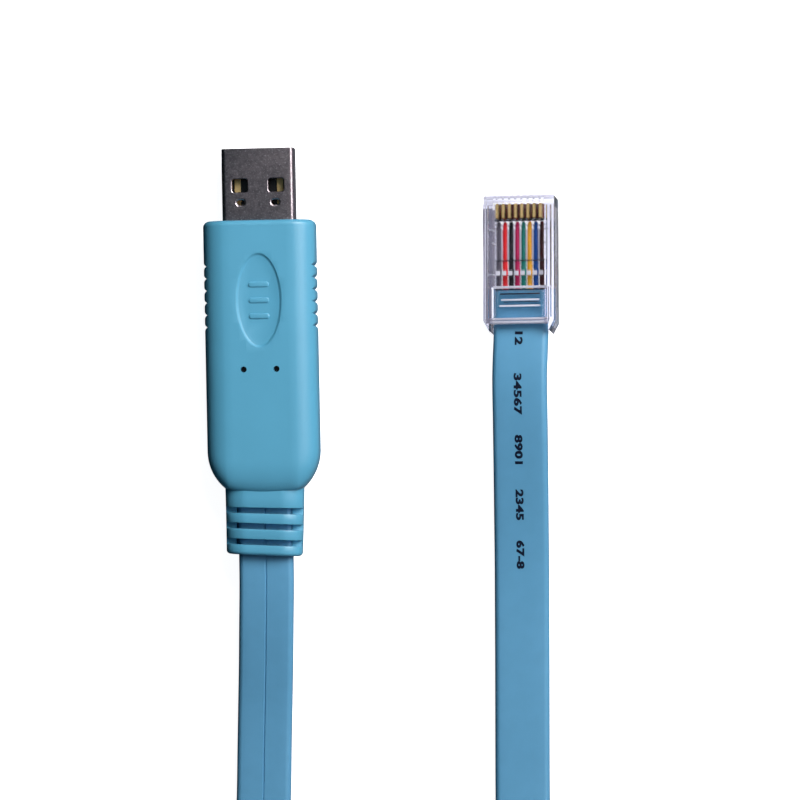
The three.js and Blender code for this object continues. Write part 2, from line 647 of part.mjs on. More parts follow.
// The other end: out of the hank's opening, over its near end in a long low hump, and along the
// surface to the plug.
const PLUG_ROUTE = [
  [42.8, HANK_LEAVE_Y + CLEAR, HANK_MID_Z, 90],
  [42.55, -171, 5.95, 97],
  [41.65, -164, 6.7, 115],
  [40.6, -157, 8.35, 141],
  [40.0, -150, 10.4, 166],
  [39.8, -143, 11.9, 178],
  [39.8, -136, 12.15, 180],
  [40.0, -126, 12.1, 180],
  [40.4, -116, 11.95, 180],
  [40.75, -108, 10.9, 180],
  [41.05, -100, 8.6, 180],
  [41.25, -92, 5.7, 180],
  [41.37, -85, 3.3, 180],
  [41.42, -79, 1.95, 180],
  [41.48, -72, 1.45, 180],
  [41.65, -62, 1.35, 180],
  [41.83, -52, 1.36, 180],
  [41.96, -44, 1.55, 180],
  [42.1, -36, 2.1, 181],
  [42.2, -28, 3.25, 182],
  [42.3, -20, 4.75, 184],
  [42.38, -12, 6.1, 186],
  [42.44, -5, 6.75, 186.5],
];

piece('usb_shell', shell(), FINISH.nickel);
piece('usb_insulator', insulator(), FINISH.black);
STRIP_CENTRES.forEach((x, i) => piece(`usb_contact_${i + 1}`, strip(x), FINISH.gold));
piece('adapter_housing', housing(), FINISH.blue);
const lensBase = HOUSING_HEIGHT - LAMP_DEPTH;
const lensSize = [LAMP_DIAMETER - SLIP, lensBase, lensBase + LENS_THICKNESS];
piece('indicator_left', lampHole(-LAMP_OFFSET, ...lensSize), FINISH.lens);
piece('indicator_right', lampHole(LAMP_OFFSET, ...lensSize), FINISH.lens);

const bodyMesh = piece('rj45_body', plugBody(), FINISH.clear, plug);
CONTACT_CENTRES.forEach((x, i) => piece(`rj45_contact_${i + 1}`, contactBlade(x), FINISH.gold, plug));
CONTACT_CENTRES.forEach((x, i) => {
  piece(`rj45_wire_${i + 1}`, wire(x), { color: WIRE_COLOURS[i], roughness: 0.4, metalness: 0 }, plug);
});

// The plug lies on its latch and one corner of its nose, so its lowest point is on the surface.
plug.position.set(0, 0, 0);
plug.updateMatrixWorld(true);
const noseTop = plug.localToWorld(new THREE.Vector3(0, 0, PLUG_HEIGHT));
const lowest = new THREE.Box3().setFromObject(bodyMesh, true).min.z;
plug.position.set(PLUG_NOSE[0] - noseTop.x, PLUG_NOSE[1] - noseTop.y, -lowest);
plug.updateMatrixWorld(true);

// The cable runs straight into the plug to the end of its jacket.
const endTurn = 180 + PLUG_ROLL_ANGLE;
const jacketStations = [PLUG_LENGTH, PLUG_LENGTH - JACKET_SEAT / 2, JACKET_END + CLEAR].map((back) => {
  const point = plug.localToWorld(new THREE.Vector3(0, -back, JACKET_Z));
  return [...point.toArray(), endTurn];
});
const usbRoute = new Route(USB_ROUTE);
const plugRoute = new Route([...PLUG_ROUTE, ...jacketStations]);

// The straight runs of the hank take up what is left of the cable's length.
const laidOut = usbRoute.getLength() + plugRoute.getLength() + arcsLength() + 2 * CLEAR;
const straightRun = (CABLE_LENGTH - laidOut + HANK_LEAVE) / (HANK_HALF_TURNS + 1);
piece('cable_usb_side', tube(usbRoute), FINISH.cable);
piece('cable_hank', hank(straightRun), FINISH.cable);
piece('cable_rj45_side', tube(plugRoute), FINISH.cable);

const tied = HANK_OUTER_RADIUS - HANK_INNER_RADIUS + CABLE_THICKNESS;
const sideWidth = tied - HANK_PITCH / 2;
const leftMiddle = HANK_X - (windingRadius(0) + windingRadius(HANK_HALF_TURNS - 1)) / 2;
const rightMiddle = HANK_X + (windingRadius(1) + windingRadius(HANK_HALF_TURNS)) / 2;
piece('tie_left', tie(leftMiddle, sideWidth, straightRun), FINISH.strap);
piece('tie_right', tie(rightMiddle, sideWidth, straightRun), FINISH.strap);

export default model;
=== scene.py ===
"""The looks of a flat console cable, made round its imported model: cable, housing, plug, stage and camera."""

import math
from bisect import bisect_right
from contextlib import contextmanager

import bmesh
import bpy
from bpy.props import FloatProperty, FloatVectorProperty, IntProperty, PointerProperty
from mathutils import Matrix, Vector


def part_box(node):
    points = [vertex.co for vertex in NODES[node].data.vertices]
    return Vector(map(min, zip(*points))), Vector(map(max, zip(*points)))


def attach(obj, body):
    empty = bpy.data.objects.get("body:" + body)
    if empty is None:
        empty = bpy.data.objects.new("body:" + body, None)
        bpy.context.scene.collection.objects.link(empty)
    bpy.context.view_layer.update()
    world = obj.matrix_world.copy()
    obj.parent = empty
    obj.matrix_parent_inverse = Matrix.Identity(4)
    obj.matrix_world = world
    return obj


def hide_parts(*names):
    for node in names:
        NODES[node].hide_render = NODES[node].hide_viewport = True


bl_info = {
    "name": "Flat Console Cable",
    "version": (1, 0, 0),
    "blender": (4, 5, 0),
    "location": "View3D > Sidebar > Console Cable",
    "description": "Makes the finishes, the cable, the stage and the camera of a flat console cable",
    "category": "Object",
}

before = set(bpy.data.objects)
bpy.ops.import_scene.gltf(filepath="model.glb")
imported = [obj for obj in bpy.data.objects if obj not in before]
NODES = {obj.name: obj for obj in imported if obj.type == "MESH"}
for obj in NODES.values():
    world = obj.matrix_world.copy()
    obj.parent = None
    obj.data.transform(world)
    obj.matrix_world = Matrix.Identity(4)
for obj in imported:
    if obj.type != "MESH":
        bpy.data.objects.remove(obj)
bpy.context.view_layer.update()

MM = 0.001
WIRE_COUNT = 8
USB_CONTACTS = 4
SIDES = ("left", "right")
HOUSING_LOW, HOUSING_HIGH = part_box("adapter_housing")
SHELL_LOW, SHELL_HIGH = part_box("usb_shell")
MID_Z = (HOUSING_LOW.z + HOUSING_HIGH.z) / 2
MOUTH_Y = HOUSING_LOW.y
FRONT_Y = HOUSING_HIGH.y


# Properties

def size(name, description, millimetres):
    """A length property with a default in millimetres."""
    return FloatProperty(
        name=name, description=description, default=millimetres * MM, unit="LENGTH", subtype="DISTANCE"
    )


def plain_number(name, description, default):
    return FloatProperty(name=name, description=description, default=default)


def degrees(name, description, default):
    """An angle property with a default in degrees."""
    return FloatProperty(name=name, description=description, default=math.radians(default), unit="ROTATION")


def copies(name, description, default):
    return IntProperty(name=name, description=description, default=default, min=0)


def colour(name, description, red, green, blue):
    """A colour property with a linear default."""
    return FloatVectorProperty(
        name=name, description=description, default=(red, green, blue), size=3, subtype="COLOR", min=0, max=1
    )


class CableSettings(bpy.types.PropertyGroup):
    width: size("Width", "Across the flat cable", 9.0)
    thickness: size("Thickness", "Between the broad faces of the cable", 2.6)
    length: size("Length", "From the strain relief to the jacket's end in the plug", 1800)
    edge_radius: size("Edge radius", "Round edges of the jacket", 0.95)
    groove_width: size("Groove width", "Across the line along the grooved face", 0.34)
    groove_depth: size("Groove depth", "Depth of the line along the grooved face", 0.2)
    jacket: colour("Jacket", "Light blue jacket of the cable", 0.118, 0.355, 0.570)
    ink: colour("Ink", "Numbers printed on the plain face", 0.002, 0.005, 0.016)
    print_height: size("Number height", "Height of the printed numbers", 1.15)
    print_stretch: plain_number("Number stretch", "Width factor of the numbers", 1.52)
    print_offset: size("Number offset", "From the middle of the face to the middle of the numbers", -0.17)
    print_repeat: size("Repeat", "Distance after which the numbers come again", 150)


class HousingSettings(bpy.types.PropertyGroup):
    flat_width: size("Flat width", "Across the flat top between the creases", 11.4)
    side_land: size("Side land", "Height of the upright band on each side", 2.8)
    front_corner: size("Front corner", "Round front corners seen from above", 1.0)
    front_edge: size("Front edge", "Round edge of the front face", 0.8)
    shoulder_radius: size("Shoulder radius", "Sides closing in to the strain relief", 8.3)
    shoulder_length: size("Shoulder length", "Length over which the sides close in", 6.3)
    roll_length: size("Roll length", "Length over which the rear rolls down", 4.6)
    rear_bulge: size("Rear bulge", "How far the middle of the rear edge stands back", 0.6)
    grip_first: size("First grip", "From the front to the first grip notch", 7.45)
    grip_pitch: size("Grip pitch", "Between two grip notches", 2.0)
    grip_width: size("Grip width", "Opening of a grip notch", 1.4)
    grip_depth: size("Grip depth", "Depth of a grip notch", 0.55)
    grip_count: copies("Grips", "Grip notches on each side", 6)
    oval_length: size("Oval length", "Thumb rest along the housing", 15.3)
    oval_width: size("Oval width", "Thumb rest across the housing", 7.3)
    oval_depth: size("Oval depth", "How far the thumb rest is sunk", 0.3)
    oval_from_front: size("Oval place", "From the front to the middle of the thumb rest", 13.2)
    bar_width: size("Bar width", "Across the housing along a raised bar", 3.4)
    bar_length: size("Bar length", "Along the housing over a raised bar", 0.9)
    bar_pitch: size("Bar pitch", "Between two raised bars", 2.6)
    relief_length: size("Relief length", "Length of the strain relief", 10.95)
    relief_width: size("Relief width", "Across the strain relief where it leaves the housing", 13.0)
    relief_end_width: size("Relief end width", "Across the strain relief at its rear", 12.5)
    relief_height: size("Relief height", "Between the broad faces of the strain relief", 6.6)
    rib_round: size("Rib edge", "Round edges of the ribs of the strain relief", 0.16)
    bend: degrees("Bend", "Lean of the strain relief", 3.2)
    bend_start: size("Bend start", "How far before the neck the lean starts", 4)
    bend_shift: size("Bend shift", "How far the rear of the strain relief moves aside", 0.25)
    relief_flat: size("Relief flat", "Across the flat of the strain relief", 6.4)
    relief_land: size("Relief land", "Height of the upright band of the strain relief", 1.2)
    relief_corner: size("Relief corner", "Round rear corners of the strain relief", 0.6)
    slot_first: size("First slot", "From the neck to the first slot", 3.6)
    slot_pitch: size("Slot pitch", "Between two slots", 2.6)
    slot_length: size("Slot length", "Length of a slot along the cable", 1.0)
    slot_web: size("Web", "Thickness left between upper and lower slots", 2.0)
    slot_count: copies("Slots", "Slots on each broad side", 3)
    plastic: colour("Plastic", "Light blue of the moulding", 0.105, 0.400, 0.590)


class ShellSettings(bpy.types.PropertyGroup):
    corner: size("Corner", "Round edges along the shell", 0.7)
    wall: size("Wall", "Thickness of the sheet", 0.3)
    window_width: size("Window width", "Across a window", 2.5)
    window_length: size("Window length", "Along a window", 2.15)
    window_corner: size("Window corner", "Round corners of a window", 0.35)
    window_rim: size("Window rim", "Rolled edge round a window", 0.17)
    window_offset: size("Window offset", "From the middle to the middle of a window", 3.0)
    window_from_tip: size("Window place", "From the tip to the middle of a window", 6.1)
    dimple_width: size("Dimple width", "Across the hole in a dimple", 1.2)
    dimple_length: size("Dimple length", "Along the hole in a dimple", 0.8)
    dimple_rim: size("Dimple rim", "Rolled edge round a dimple", 0.3)
    dimple_offset: size("Dimple offset", "From the middle to the middle of a dimple", 2.85)
    dimple_from_housing: size("Dimple place", "From the housing to the middle of a dimple", 3.0)


class PlugSettings(bpy.types.PropertyGroup):
    width: size("Width", "Across the clear plug", 11.7)
    length: size("Length", "From the nose to the rear", 22.3)
    height: size("Height", "Without the latch", 6.6)
    jacket_seat: size("Jacket seat", "How far the jacket goes in", 7.0)
    contact_pitch: size("Contact pitch", "Between two contacts", 1.02)
    rib_front: size("Rib front", "From the nose to the start of the ribs between the wires", 5.3)
    rib_back: size("Rib back", "From the nose to the end of the ribs between the wires", 10.5)
    wire_narrow: size("Wire in the comb", "Radius of a wire between the ribs", 0.385)
    wire_wide: size("Wire behind the comb", "Radius of a wire behind the ribs", 0.46)
    wire_front: size("Wire front", "From the nose to the tips of the wires", 4.0)
    wire_level: size("Wire level", "Height of the wires' middle over the latch side", 3.6)
    clear: colour("Clear plastic", "Faint tint of the clear plug", 0.60, 0.60, 0.72)
    window: colour("Window", "Tint of the thin polished middle of the clear plug", 0.80, 0.80, 0.90)
    # Painted shade: a see-through dark sheet that darkens the plug's left side.
    left_shade_sheet: colour("Left painted shade", "Painted shade on the plug's left side", 0.31, 0.30, 0.34)
    # The frosted faces also glow with this colour, as painted light.
    frosted: colour("Frosted plastic", "Pressed and cut faces of the clear plug", 0.72, 0.71, 0.80)


class StageSettings(bpy.types.PropertyGroup):
    view_width: size("View width", "Width of the picture at the height of the object", 131.2)
    view_distance: size("View distance", "From the camera to the object", 600)
    view_aside: size("View aside", "How far the camera stands to the right of the picture's middle", 32)
    roll: degrees("Roll", "How far the camera is rolled", 1.15)
    key_power: plain_number("Key", "Power of the big light on the right", 4.6)
    near_power: plain_number("Near", "Power of the small light past the tips", 0.9)
    room_dark: plain_number("Dark side", "Brightness of the room on the left", 0.008)
    room_light: plain_number("Light side", "Brightness of the room on the right", 0.2)
    dark_tint: colour("Dark tint", "Colour of the room on the left", 0.12, 0.72, 1.0)
    light_tint: colour("Light tint", "Colour of the room on the right", 0.80, 0.88, 1.0)
    floor: colour("Floor", "Pale floor", 0.9, 0.9, 0.9)


# Shader maths

class Value:
    """One number of a shader, so that ordinary maths on it adds Math nodes."""

    def __init__(self, tree, socket):
        self.tree = tree
        self.socket = socket

    def maths(self, operation, *terms):
        made = self.tree.node("ShaderNodeMath", {"operation": operation}, dict(enumerate(terms)))
        return Value(self.tree, made.outputs[0])

    def __add__(self, other):
        return self.maths("ADD", self, other)

    def __radd__(self, other):
        return self.maths("ADD", other, self)

    def __sub__(self, other):
        return self.maths("SUBTRACT", self, other)

    def __rsub__(self, other):
        return self.maths("SUBTRACT", other, self)

    def __mul__(self, other):
        return self.maths("MULTIPLY", self, other)

    def __rmul__(self, other):
        return self.maths("MULTIPLY", other, self)


class Shading:
    """A node tree whose new nodes all come from one method."""

    def __init__(self, tree):
        self.tree = tree

    def node(self, kind, settings=None, feeds=None):
        """A node of that type, with its settings made first and its sockets fed afterwards."""
        made = self.tree.nodes.new(kind)
        for name, value in (settings or {}).items():
            if name == "stops":
                set_stops(made, value)
            else:
                setattr(made, name, value)
        for name, value in (feeds or {}).items():
            self.feed(made.inputs[name], value)
        return made

    def feed(self, socket, value):
        if isinstance(value, Value):
            value = value.socket
        if isinstance(value, bpy.types.NodeSocket):
            self.tree.links.new(value, socket)
        else:
            socket.default_value = value

    def mix(self, factor, first, second):
        """A colour between two colours."""
        feeds = {0: factor, 6: rgba(first), 7: rgba(second)}
        return self.node("ShaderNodeMix", {"data_type": "RGBA"}, feeds).outputs[2]


class Finish(Shading):
    """A material's node tree, ending in one Principled shader."""

    def __init__(self, name, **constants):
        self.material = bpy.data.materials.new(name)
        self.material.use_nodes = True
        super().__init__(self.material.node_tree)
        self.tree.nodes.clear()
        output = self.node("ShaderNodeOutputMaterial")
        self.shader = self.node("ShaderNodeBsdfPrincipled")
        self.feed(output.inputs["Surface"], self.shader.outputs[0])
        self.set(**constants)

    def set(self, **feeds):
        for label, value in feeds.items():
            self.feed(self.shader.inputs[label.replace("_", " ")], value)

    def place(self):
        return self.node("ShaderNodeTexCoord").outputs["Object"]

    def noise(self, scale, detail=2.0, roughness=0.5):
        feeds = {"Vector": self.place(), "Scale": scale, "Detail": detail, "Roughness": roughness}
        return Value(self, self.node("ShaderNodeTexNoise", None, feeds).outputs["Fac"])

    def ramp(self, factor, *stops):
        return Value(self, self.node("ShaderNodeValToRGB", {"stops": stops}, {0: factor}).outputs[0])

    def bump(self, height, strength, distance):
        """Relief of a height between 0 and 1, with its real depth."""
        feeds = {"Height": height, "Strength": strength, "Distance": distance}
        self.set(Normal=self.node("ShaderNodeBump", None, feeds).outputs[0])


def set_stops(node, stops):
    """Sets the stops of a colour ramp, each a place and a grey level."""
    elements = node.color_ramp.elements
    while len(elements) < len(stops):
        elements.new(0.5)
    for element, (place, level) in zip(elements, stops):
        element.position = place
        element.color = (level, level, level, 1)


def rgba(value):
    if isinstance(value, (Value, bpy.types.NodeSocket)):
        return value
    return (*value[:3], 1.0)


def shade(value, factor):
    """A darker or lighter version of a plain colour."""
    return tuple(min(1.0, part * factor) for part in value[:3])


# Finishes

def moulded_finish(name, tint, roughness=0.38):
    """Satin moulded plastic: faint cloudiness and a fine spark-eroded grain."""
    finish = Finish(name, IOR=1.49, Coat_Weight=0.35, Coat_Roughness=0.3, Coat_IOR=1.45)
    cloud = finish.noise(160, 3.0)
    grain = finish.noise(9000, 2.0, 0.6)
    finish.set(
        Base_Color=finish.mix(cloud, shade(tint, 0.94), shade(tint, 1.05)),
        Roughness=roughness + cloud * 0.06 - grain * 0.04,
    )
    finish.bump(grain, 0.25, 0.00002)
    return finish.material


def jacket_finish(name, tint):
    """Soft PVC jacket: a slight mottle and a fine grain."""
    finish = Finish(name, IOR=1.5)
    mottle = finish.noise(420, 3.0, 0.6)
    grain = finish.noise(7000, 2.0, 0.55)
    finish.set(
        Base_Color=finish.mix(mottle, shade(tint, 0.93), shade(tint, 1.06)),
        Roughness=0.36 + mottle * 0.12,
    )
    finish.bump(mottle * 0.7 + grain * 0.3, 0.3, 0.00003)
    return finish.material


def nickel_finish(name):
    """Nickel-plated steel with the fine pits and speckles of a tumbled stamping."""
    finish = Finish(name, Metallic=1.0)
    speckle = finish.noise(3400, 3.0, 0.7)
    cloud = finish.noise(1300, 4.0, 0.7)
    bright = finish.ramp(speckle, (0.54, 0.0), (0.66, 1.0))
    finish.set(
        Base_Color=finish.mix(
            bright * 0.45, finish.mix(cloud, (0.17, 0.14, 0.15), (0.55, 0.47, 0.50)), (0.95, 0.9, 0.95)
        ),
        Roughness=0.24 + cloud * 0.12,
    )
    finish.bump(speckle, 0.5, 0.00003)
    return finish.material


def gold_finish(name):
    """Gold flash on the contacts, a little worn."""
    finish = Finish(name, Metallic=1.0)
    wear = finish.noise(2600, 3.0)
    finish.set(
        Base_Color=finish.mix(wear, (0.93, 0.62, 0.24), (1.0, 0.78, 0.40)), Roughness=0.34 + wear * 0.14
    )
    finish.bump(wear, 0.15, 0.00001)
    return finish.material


def insulation_finish(name, tint):
    """Smooth insulation of a thin wire."""
    finish = Finish(name, IOR=1.33)
    streak = finish.noise(3000, 2.0)
    finish.set(
        Base_Color=finish.mix(streak, shade(tint, 0.85), shade(tint, 1.15)), Roughness=0.4 + streak * 0.12
    )
    finish.bump(streak, 0.2, 0.00001)
    return finish.material


def clear_finish(name, tint, alpha=1.0, roughness=0.03):
    """Clear polycarbonate with faint flow marks."""
    finish = Finish(name, IOR=1.58, Transmission_Weight=1.0, Alpha=alpha)
    flow = finish.noise(900, 2.0)
    finish.set(
        Base_Color=finish.mix(flow, shade(tint, 0.98), tint), Roughness=roughness + flow * 0.02
    )
    finish.bump(flow, 0.08, 0.00002)
    return finish.material


def shade_sheet_finish(name, tint):
    """A see-through sheet of clear plastic that only takes some light away, as painted shade on one side."""
    finish = Finish(name, IOR=1.0, Transmission_Weight=1.0, Roughness=0.0)
    flow = finish.noise(700, 2.0)
    finish.set(Base_Color=finish.mix(flow, shade(tint, 0.94), shade(tint, 1.05)))
    return finish.material


def frosted_glow_finish(name, tint):
    """The same plastic where a tool has pressed or cut it, so that it is white and dull, with a painted glow
    of its own colour.
    """
    # Painted glow: the frosted faces give off light of their own colour, which stands for light scattered
    # inside the clear body.
    finish = Finish(name, IOR=1.58, Transmission_Weight=0.2, Emission_Strength=0.12)
    mark = finish.noise(6000, 3.0, 0.65)
    milk_and_glow = finish.mix(mark, shade(tint, 0.8), tint)
    finish.set(Base_Color=milk_and_glow, Emission_Color=milk_and_glow, Roughness=0.45 + mark * 0.2)
    finish.bump(mark, 0.4, 0.00002)
    return finish.material


def strap_finish(name, tint):
    """Hook-and-loop strap: a napped face of small loops."""
    finish = Finish(name, Sheen_Weight=0.5, Sheen_Roughness=0.5)
    made = finish.node(
        "ShaderNodeTexVoronoi", {"feature": "F1"}, {"Vector": finish.place(), "Scale": 1900.0}
    )
    loops = Value(finish, made.outputs["Distance"])
    fuzz = finish.noise(5000, 4.0, 0.7)
    finish.set(
        Base_Color=finish.mix(loops, shade(tint, 1.7), shade(tint, 0.6)), Roughness=0.85 + fuzz * 0.1
    )
    finish.bump(loops * 0.6 + fuzz * 0.4, 0.9, 0.0002)
    return finish.material


def ink_finish(name, tint):
    """Printing ink, uneven where it is thin."""
    finish = Finish(name, IOR=1.28)
    blot = finish.noise(5000, 3.0)
    finish.set(Base_Color=finish.mix(blot, tint, shade(tint, 2.0)), Roughness=0.4 + blot * 0.25)
    return finish.material


# Mesh making

def make_piece(name, points, faces, material=None):
    """A mesh object in the scene, with its faces looking outwards."""
    mesh = bpy.data.meshes.new(name)
    mesh.from_pydata([tuple(point) for point in points], [], faces)
    mesh.validate()
    piece = bpy.data.objects.new(name, mesh)
    bpy.context.scene.collection.objects.link(piece)
    with open_mesh(piece) as work:
        bmesh.ops.recalc_face_normals(work, faces=work.faces)
    if material:
        mesh.materials.append(material)
    return piece


@contextmanager
def open_mesh(piece):
    """The mesh of a piece, open for changes that are written back at the end."""
    work = bmesh.new()
    work.from_mesh(piece.data)
    yield work
    work.to_mesh(piece.data)
    work.free()


def loft(rings, closed_ends=True):
    """Points and faces of a skin over closed rings that have the same number of points."""
    count = len(rings[0])
    points = [point for ring in rings for point in ring]
    faces = []
    for i in range(len(rings) - 1):
        for j in range(count):
            k = (j + 1) % count
            faces.append((i * count + j, i * count + k, (i + 1) * count + k, (i + 1) * count + j))
    if closed_ends:
        faces.append(tuple(range(count - 1, -1, -1)))
        last = (len(rings) - 1) * count
        faces.append(tuple(range(last, last + count)))
    return points, faces


def bake_modifiers(piece):
    """Replaces the mesh by what its modifiers make of it."""
    graph = bpy.context.evaluated_depsgraph_get()
    graph.update()
    mesh = bpy.data.meshes.new_from_object(piece.evaluated_get(graph))
    piece.modifiers.clear()
    old = piece.data
    piece.data = mesh
    mesh.name = old.name
    bpy.data.meshes.remove(old)


def combine(piece, tools, operation="DIFFERENCE"):
    """Cuts the tools out of a piece, or joins them to it, and removes them."""
    for tool in tools:
        modifier = piece.modifiers.new("combine", "BOOLEAN")
        modifier.operation = operation
        modifier.object = tool
        modifier.solver = "EXACT"
        bake_modifiers(piece)
        bpy.data.objects.remove(tool)


def soften(piece, width, segments=2, angle=35):
    """Rounds every edge sharper than the angle."""
    modifier = piece.modifiers.new("soften", "BEVEL")
    modifier.width = width
    modifier.segments = segments
    modifier.limit_method = "ANGLE"
    modifier.angle_limit = math.radians(angle)
    modifier.use_clamp_overlap = True
    bake_modifiers(piece)


def smooth(piece, angle):
    """Smooth shading that stops at sharp edges."""
    limit = math.radians(angle)
    with open_mesh(piece) as work:
        for face in work.faces:
            face.smooth = True
        for edge in work.edges:
            edge.smooth = len(edge.link_faces) == 2 and edge.calc_face_angle(0) < limit


def rounded(width, height, radius, steps=5, x=0.0, y=0.0):
    """Points of a rectangle with round corners, anticlockwise."""
    points = []
    corners = ((1, 1, 0), (-1, 1, 90), (-1, -1, 180), (1, -1, 270))
    for sign_x, sign_y, start in corners:
        middle_x = x + sign_x * (width / 2 - radius)
        middle_y = y + sign_y * (height / 2 - radius)
        for step in range(steps + 1):
            angle = math.radians(start + 90 * step / steps)
            points.append((middle_x + radius * math.cos(angle), middle_y + radius * math.sin(angle)))
    return points


def round_outline(across, along, steps, x=0.0, y=0.0):
    """Points of an ellipse, anticlockwise, from its two half widths."""
    turns = [2 * math.pi * i / steps for i in range(steps)]
    return [(x + across * math.cos(turn), y + along * math.sin(turn)) for turn in turns]


def rectangle(low, high):
    """Corners of a rectangle, anticlockwise from its low corner."""
    return [(low[0], low[1]), (high[0], low[1]), (high[0], high[1]), (low[0], high[1])]


def ring_at(outline, level, axis="z"):
    """An outline as a ring at a level of an axis. The outline is x, y for z and x, z for y."""
    if axis == "z":
        return [Vector((x, y, level)) for x, y in outline]
    return [Vector((x, level, z)) for x, z in outline]


def prism(name, outline, low, high, axis="z"):
    """A straight prism along one axis."""
    return make_piece(name, *loft([ring_at(outline, level, axis) for level in (low, high)]))


def block(name, low, high):
    return prism(name, rectangle(low, high), low[2], high[2])


def set_materials(piece, *materials):
    piece.data.materials.clear()
    for material in materials:
        piece.data.materials.append(material)


def dress(piece, body, slot, *nodes):
    """Makes a finished piece ride on its body and stand for its nodes."""
    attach(piece, body)
    if nodes:
        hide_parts(*nodes)


# The route of the cable

# Places in metres, and how far the cable is turned about its own line in degrees: 0 has the groove up.
USB_ROUTE = (
    (0, -0.024, 0.0048, 0),
    (0, -0.0335, 0.0048, 0),
    (-0.00005, -0.0385, 0.00465, 0),
    (-0.0003, -0.045, 0.004, 0),
    (-0.0006, -0.052, 0.0029, 0),
    (-0.00095, -0.059, 0.0019, 0),
    (-0.00125, -0.066, 0.00146, 0),
    (-0.0015, -0.073, 0.00136, 0),
    (-0.0018, -0.079, 0.00146, 1),
    (-0.0023, -0.086, 0.00205, 10),
    (-0.0031, -0.094, 0.0031, 28),
    (-0.0039, -0.102, 0.0041, 50),
    (-0.0048, -0.110, 0.00495, 70),
    (-0.0055, -0.118, 0.0055, 83),
    (-0.0059, -0.127, 0.00575, 89),
    (-0.006, -0.136, 0.0058, 90),
    (-0.006, -0.1437, 0.0058, 90),
)
PLUG_ROUTE = (
    (0.0428, -0.1777, 0.0058, 90),
    (0.04255, -0.171, 0.00595, 97),
    (0.04165, -0.164, 0.0067, 115),
    (0.0406, -0.157, 0.00835, 141),
    (0.040, -0.150, 0.0104, 166),
    (0.0398, -0.143, 0.0119, 178),
    (0.0398, -0.136, 0.01215, 180),
    (0.040, -0.126, 0.0121, 180),
    (0.0404, -0.116, 0.01195, 180),
    (0.04075, -0.108, 0.0109, 180),
    (0.04105, -0.100, 0.0086, 180),
    (0.04125, -0.092, 0.0057, 180),
    (0.04137, -0.085, 0.0033, 180),
    (0.04142, -0.079, 0.00195, 180),
    (0.04148, -0.072, 0.00145, 180),
    (0.04165, -0.062, 0.00135, 180),
    (0.04183, -0.052, 0.00136, 180),
    (0.04196, -0.044, 0.00155, 180),
    (0.0421, -0.036, 0.0021, 181),
    (0.0422, -0.028, 0.00325, 182),
    (0.0423, -0.020, 0.00475, 184),
    (0.04238, -0.012, 0.0061, 186),
    (0.04244, -0.005, 0.00675, 186.5),
)
HANK_X = 0.0256
HANK_TOP_Y = -0.144
HANK_Z = 0.0058
HANK_INNER_RADIUS = 0.0172
HANK_PITCH = 0.0032
HANK_HALF_TURNS = 9
HANK_LEAVE = 0.034
ARC_STEPS = 28
RUN_STEP = 0.004
ROUTE_STEP = 0.002
JACKET_TURN = 186.5

# The plug's own frame: Y along the plug with the nose at 0, Z up from the latch side to the contacts.
PLUG_PITCH = math.radians(-6)
PLUG_ROLL = math.radians(-6.5)
PLUG_YAW = math.radians(-0.9)
JACKET_Z = 0.0034


def plug_place(plug):
    """The plug's axes, and the point at the middle of its nose on the latch side."""
    turn = (
        Matrix.Rotation(PLUG_YAW, 4, "Z")
        @ Matrix.Rotation(PLUG_PITCH, 4, "X")
        @ Matrix.Rotation(PLUG_ROLL, 4, "Y")
    )
    back = turn.inverted()
    inside = [back @ vertex.co for vertex in NODES["rj45_body"].data.vertices]
    low = Vector(min(axis) for axis in zip(*inside))
    high = Vector(max(axis) for axis in zip(*inside))
    return turn, turn @ Vector(((low.x + high.x) / 2, high.y, high.z - plug.height))


def in_plug(turn, origin, x, back, z):
    """A place given across the plug, back from its nose and up from its latch side."""
    return origin + turn @ Vector((x, -back, z))


def spline(stations, step):
    """Points and turns along a centripetal Catmull-Rom curve through the stations."""
    points = [Vector(station[:3]) for station in stations]
    points = [2 * points[0] - points[1], *points, 2 * points[-1] - points[-2]]
    made = []
    for i in range(len(stations) - 1):
        before, start, end, after = points[i : i + 4]
        gaps = [math.sqrt((b - a).length) for a, b in ((before, start), (start, end), (end, after))]
        leave = slope(before, start, end, gaps[0], gaps[1]) * gaps[1]
        arrive = slope(start, end, after, gaps[1], gaps[2]) * gaps[1]
        count = max(2, round((end - start).length / step))
        for j in range(count + (i == len(stations) - 2)):
            t = j / count
            point = (
                start * (2 * t**3 - 3 * t**2 + 1)
                + leave * (t**3 - 2 * t**2 + t)
                + end * (3 * t**2 - 2 * t**3)
                + arrive * (t**3 - t**2)
            )
            turn = stations[i][3] + (stations[i + 1][3] - stations[i][3]) * t
            made.append((point, turn))
    return made


def slope(first, second, third, gap, next_gap):
    """Tangent of the curve at the second of three points."""
    return (second - first) / gap - (third - first) / (gap + next_gap) + (third - second) / next_gap


def measure(line):
    """Length of a line of points and turns."""
    return sum((b[0] - a[0]).length for a, b in zip(line, line[1:]))


def winding_radius(half_turns):
    """Radius of the hank's bend after so many half turns, from the outside in."""
    outer = HANK_INNER_RADIUS + HANK_HALF_TURNS * HANK_PITCH / 2
    return outer - half_turns * HANK_PITCH / 2


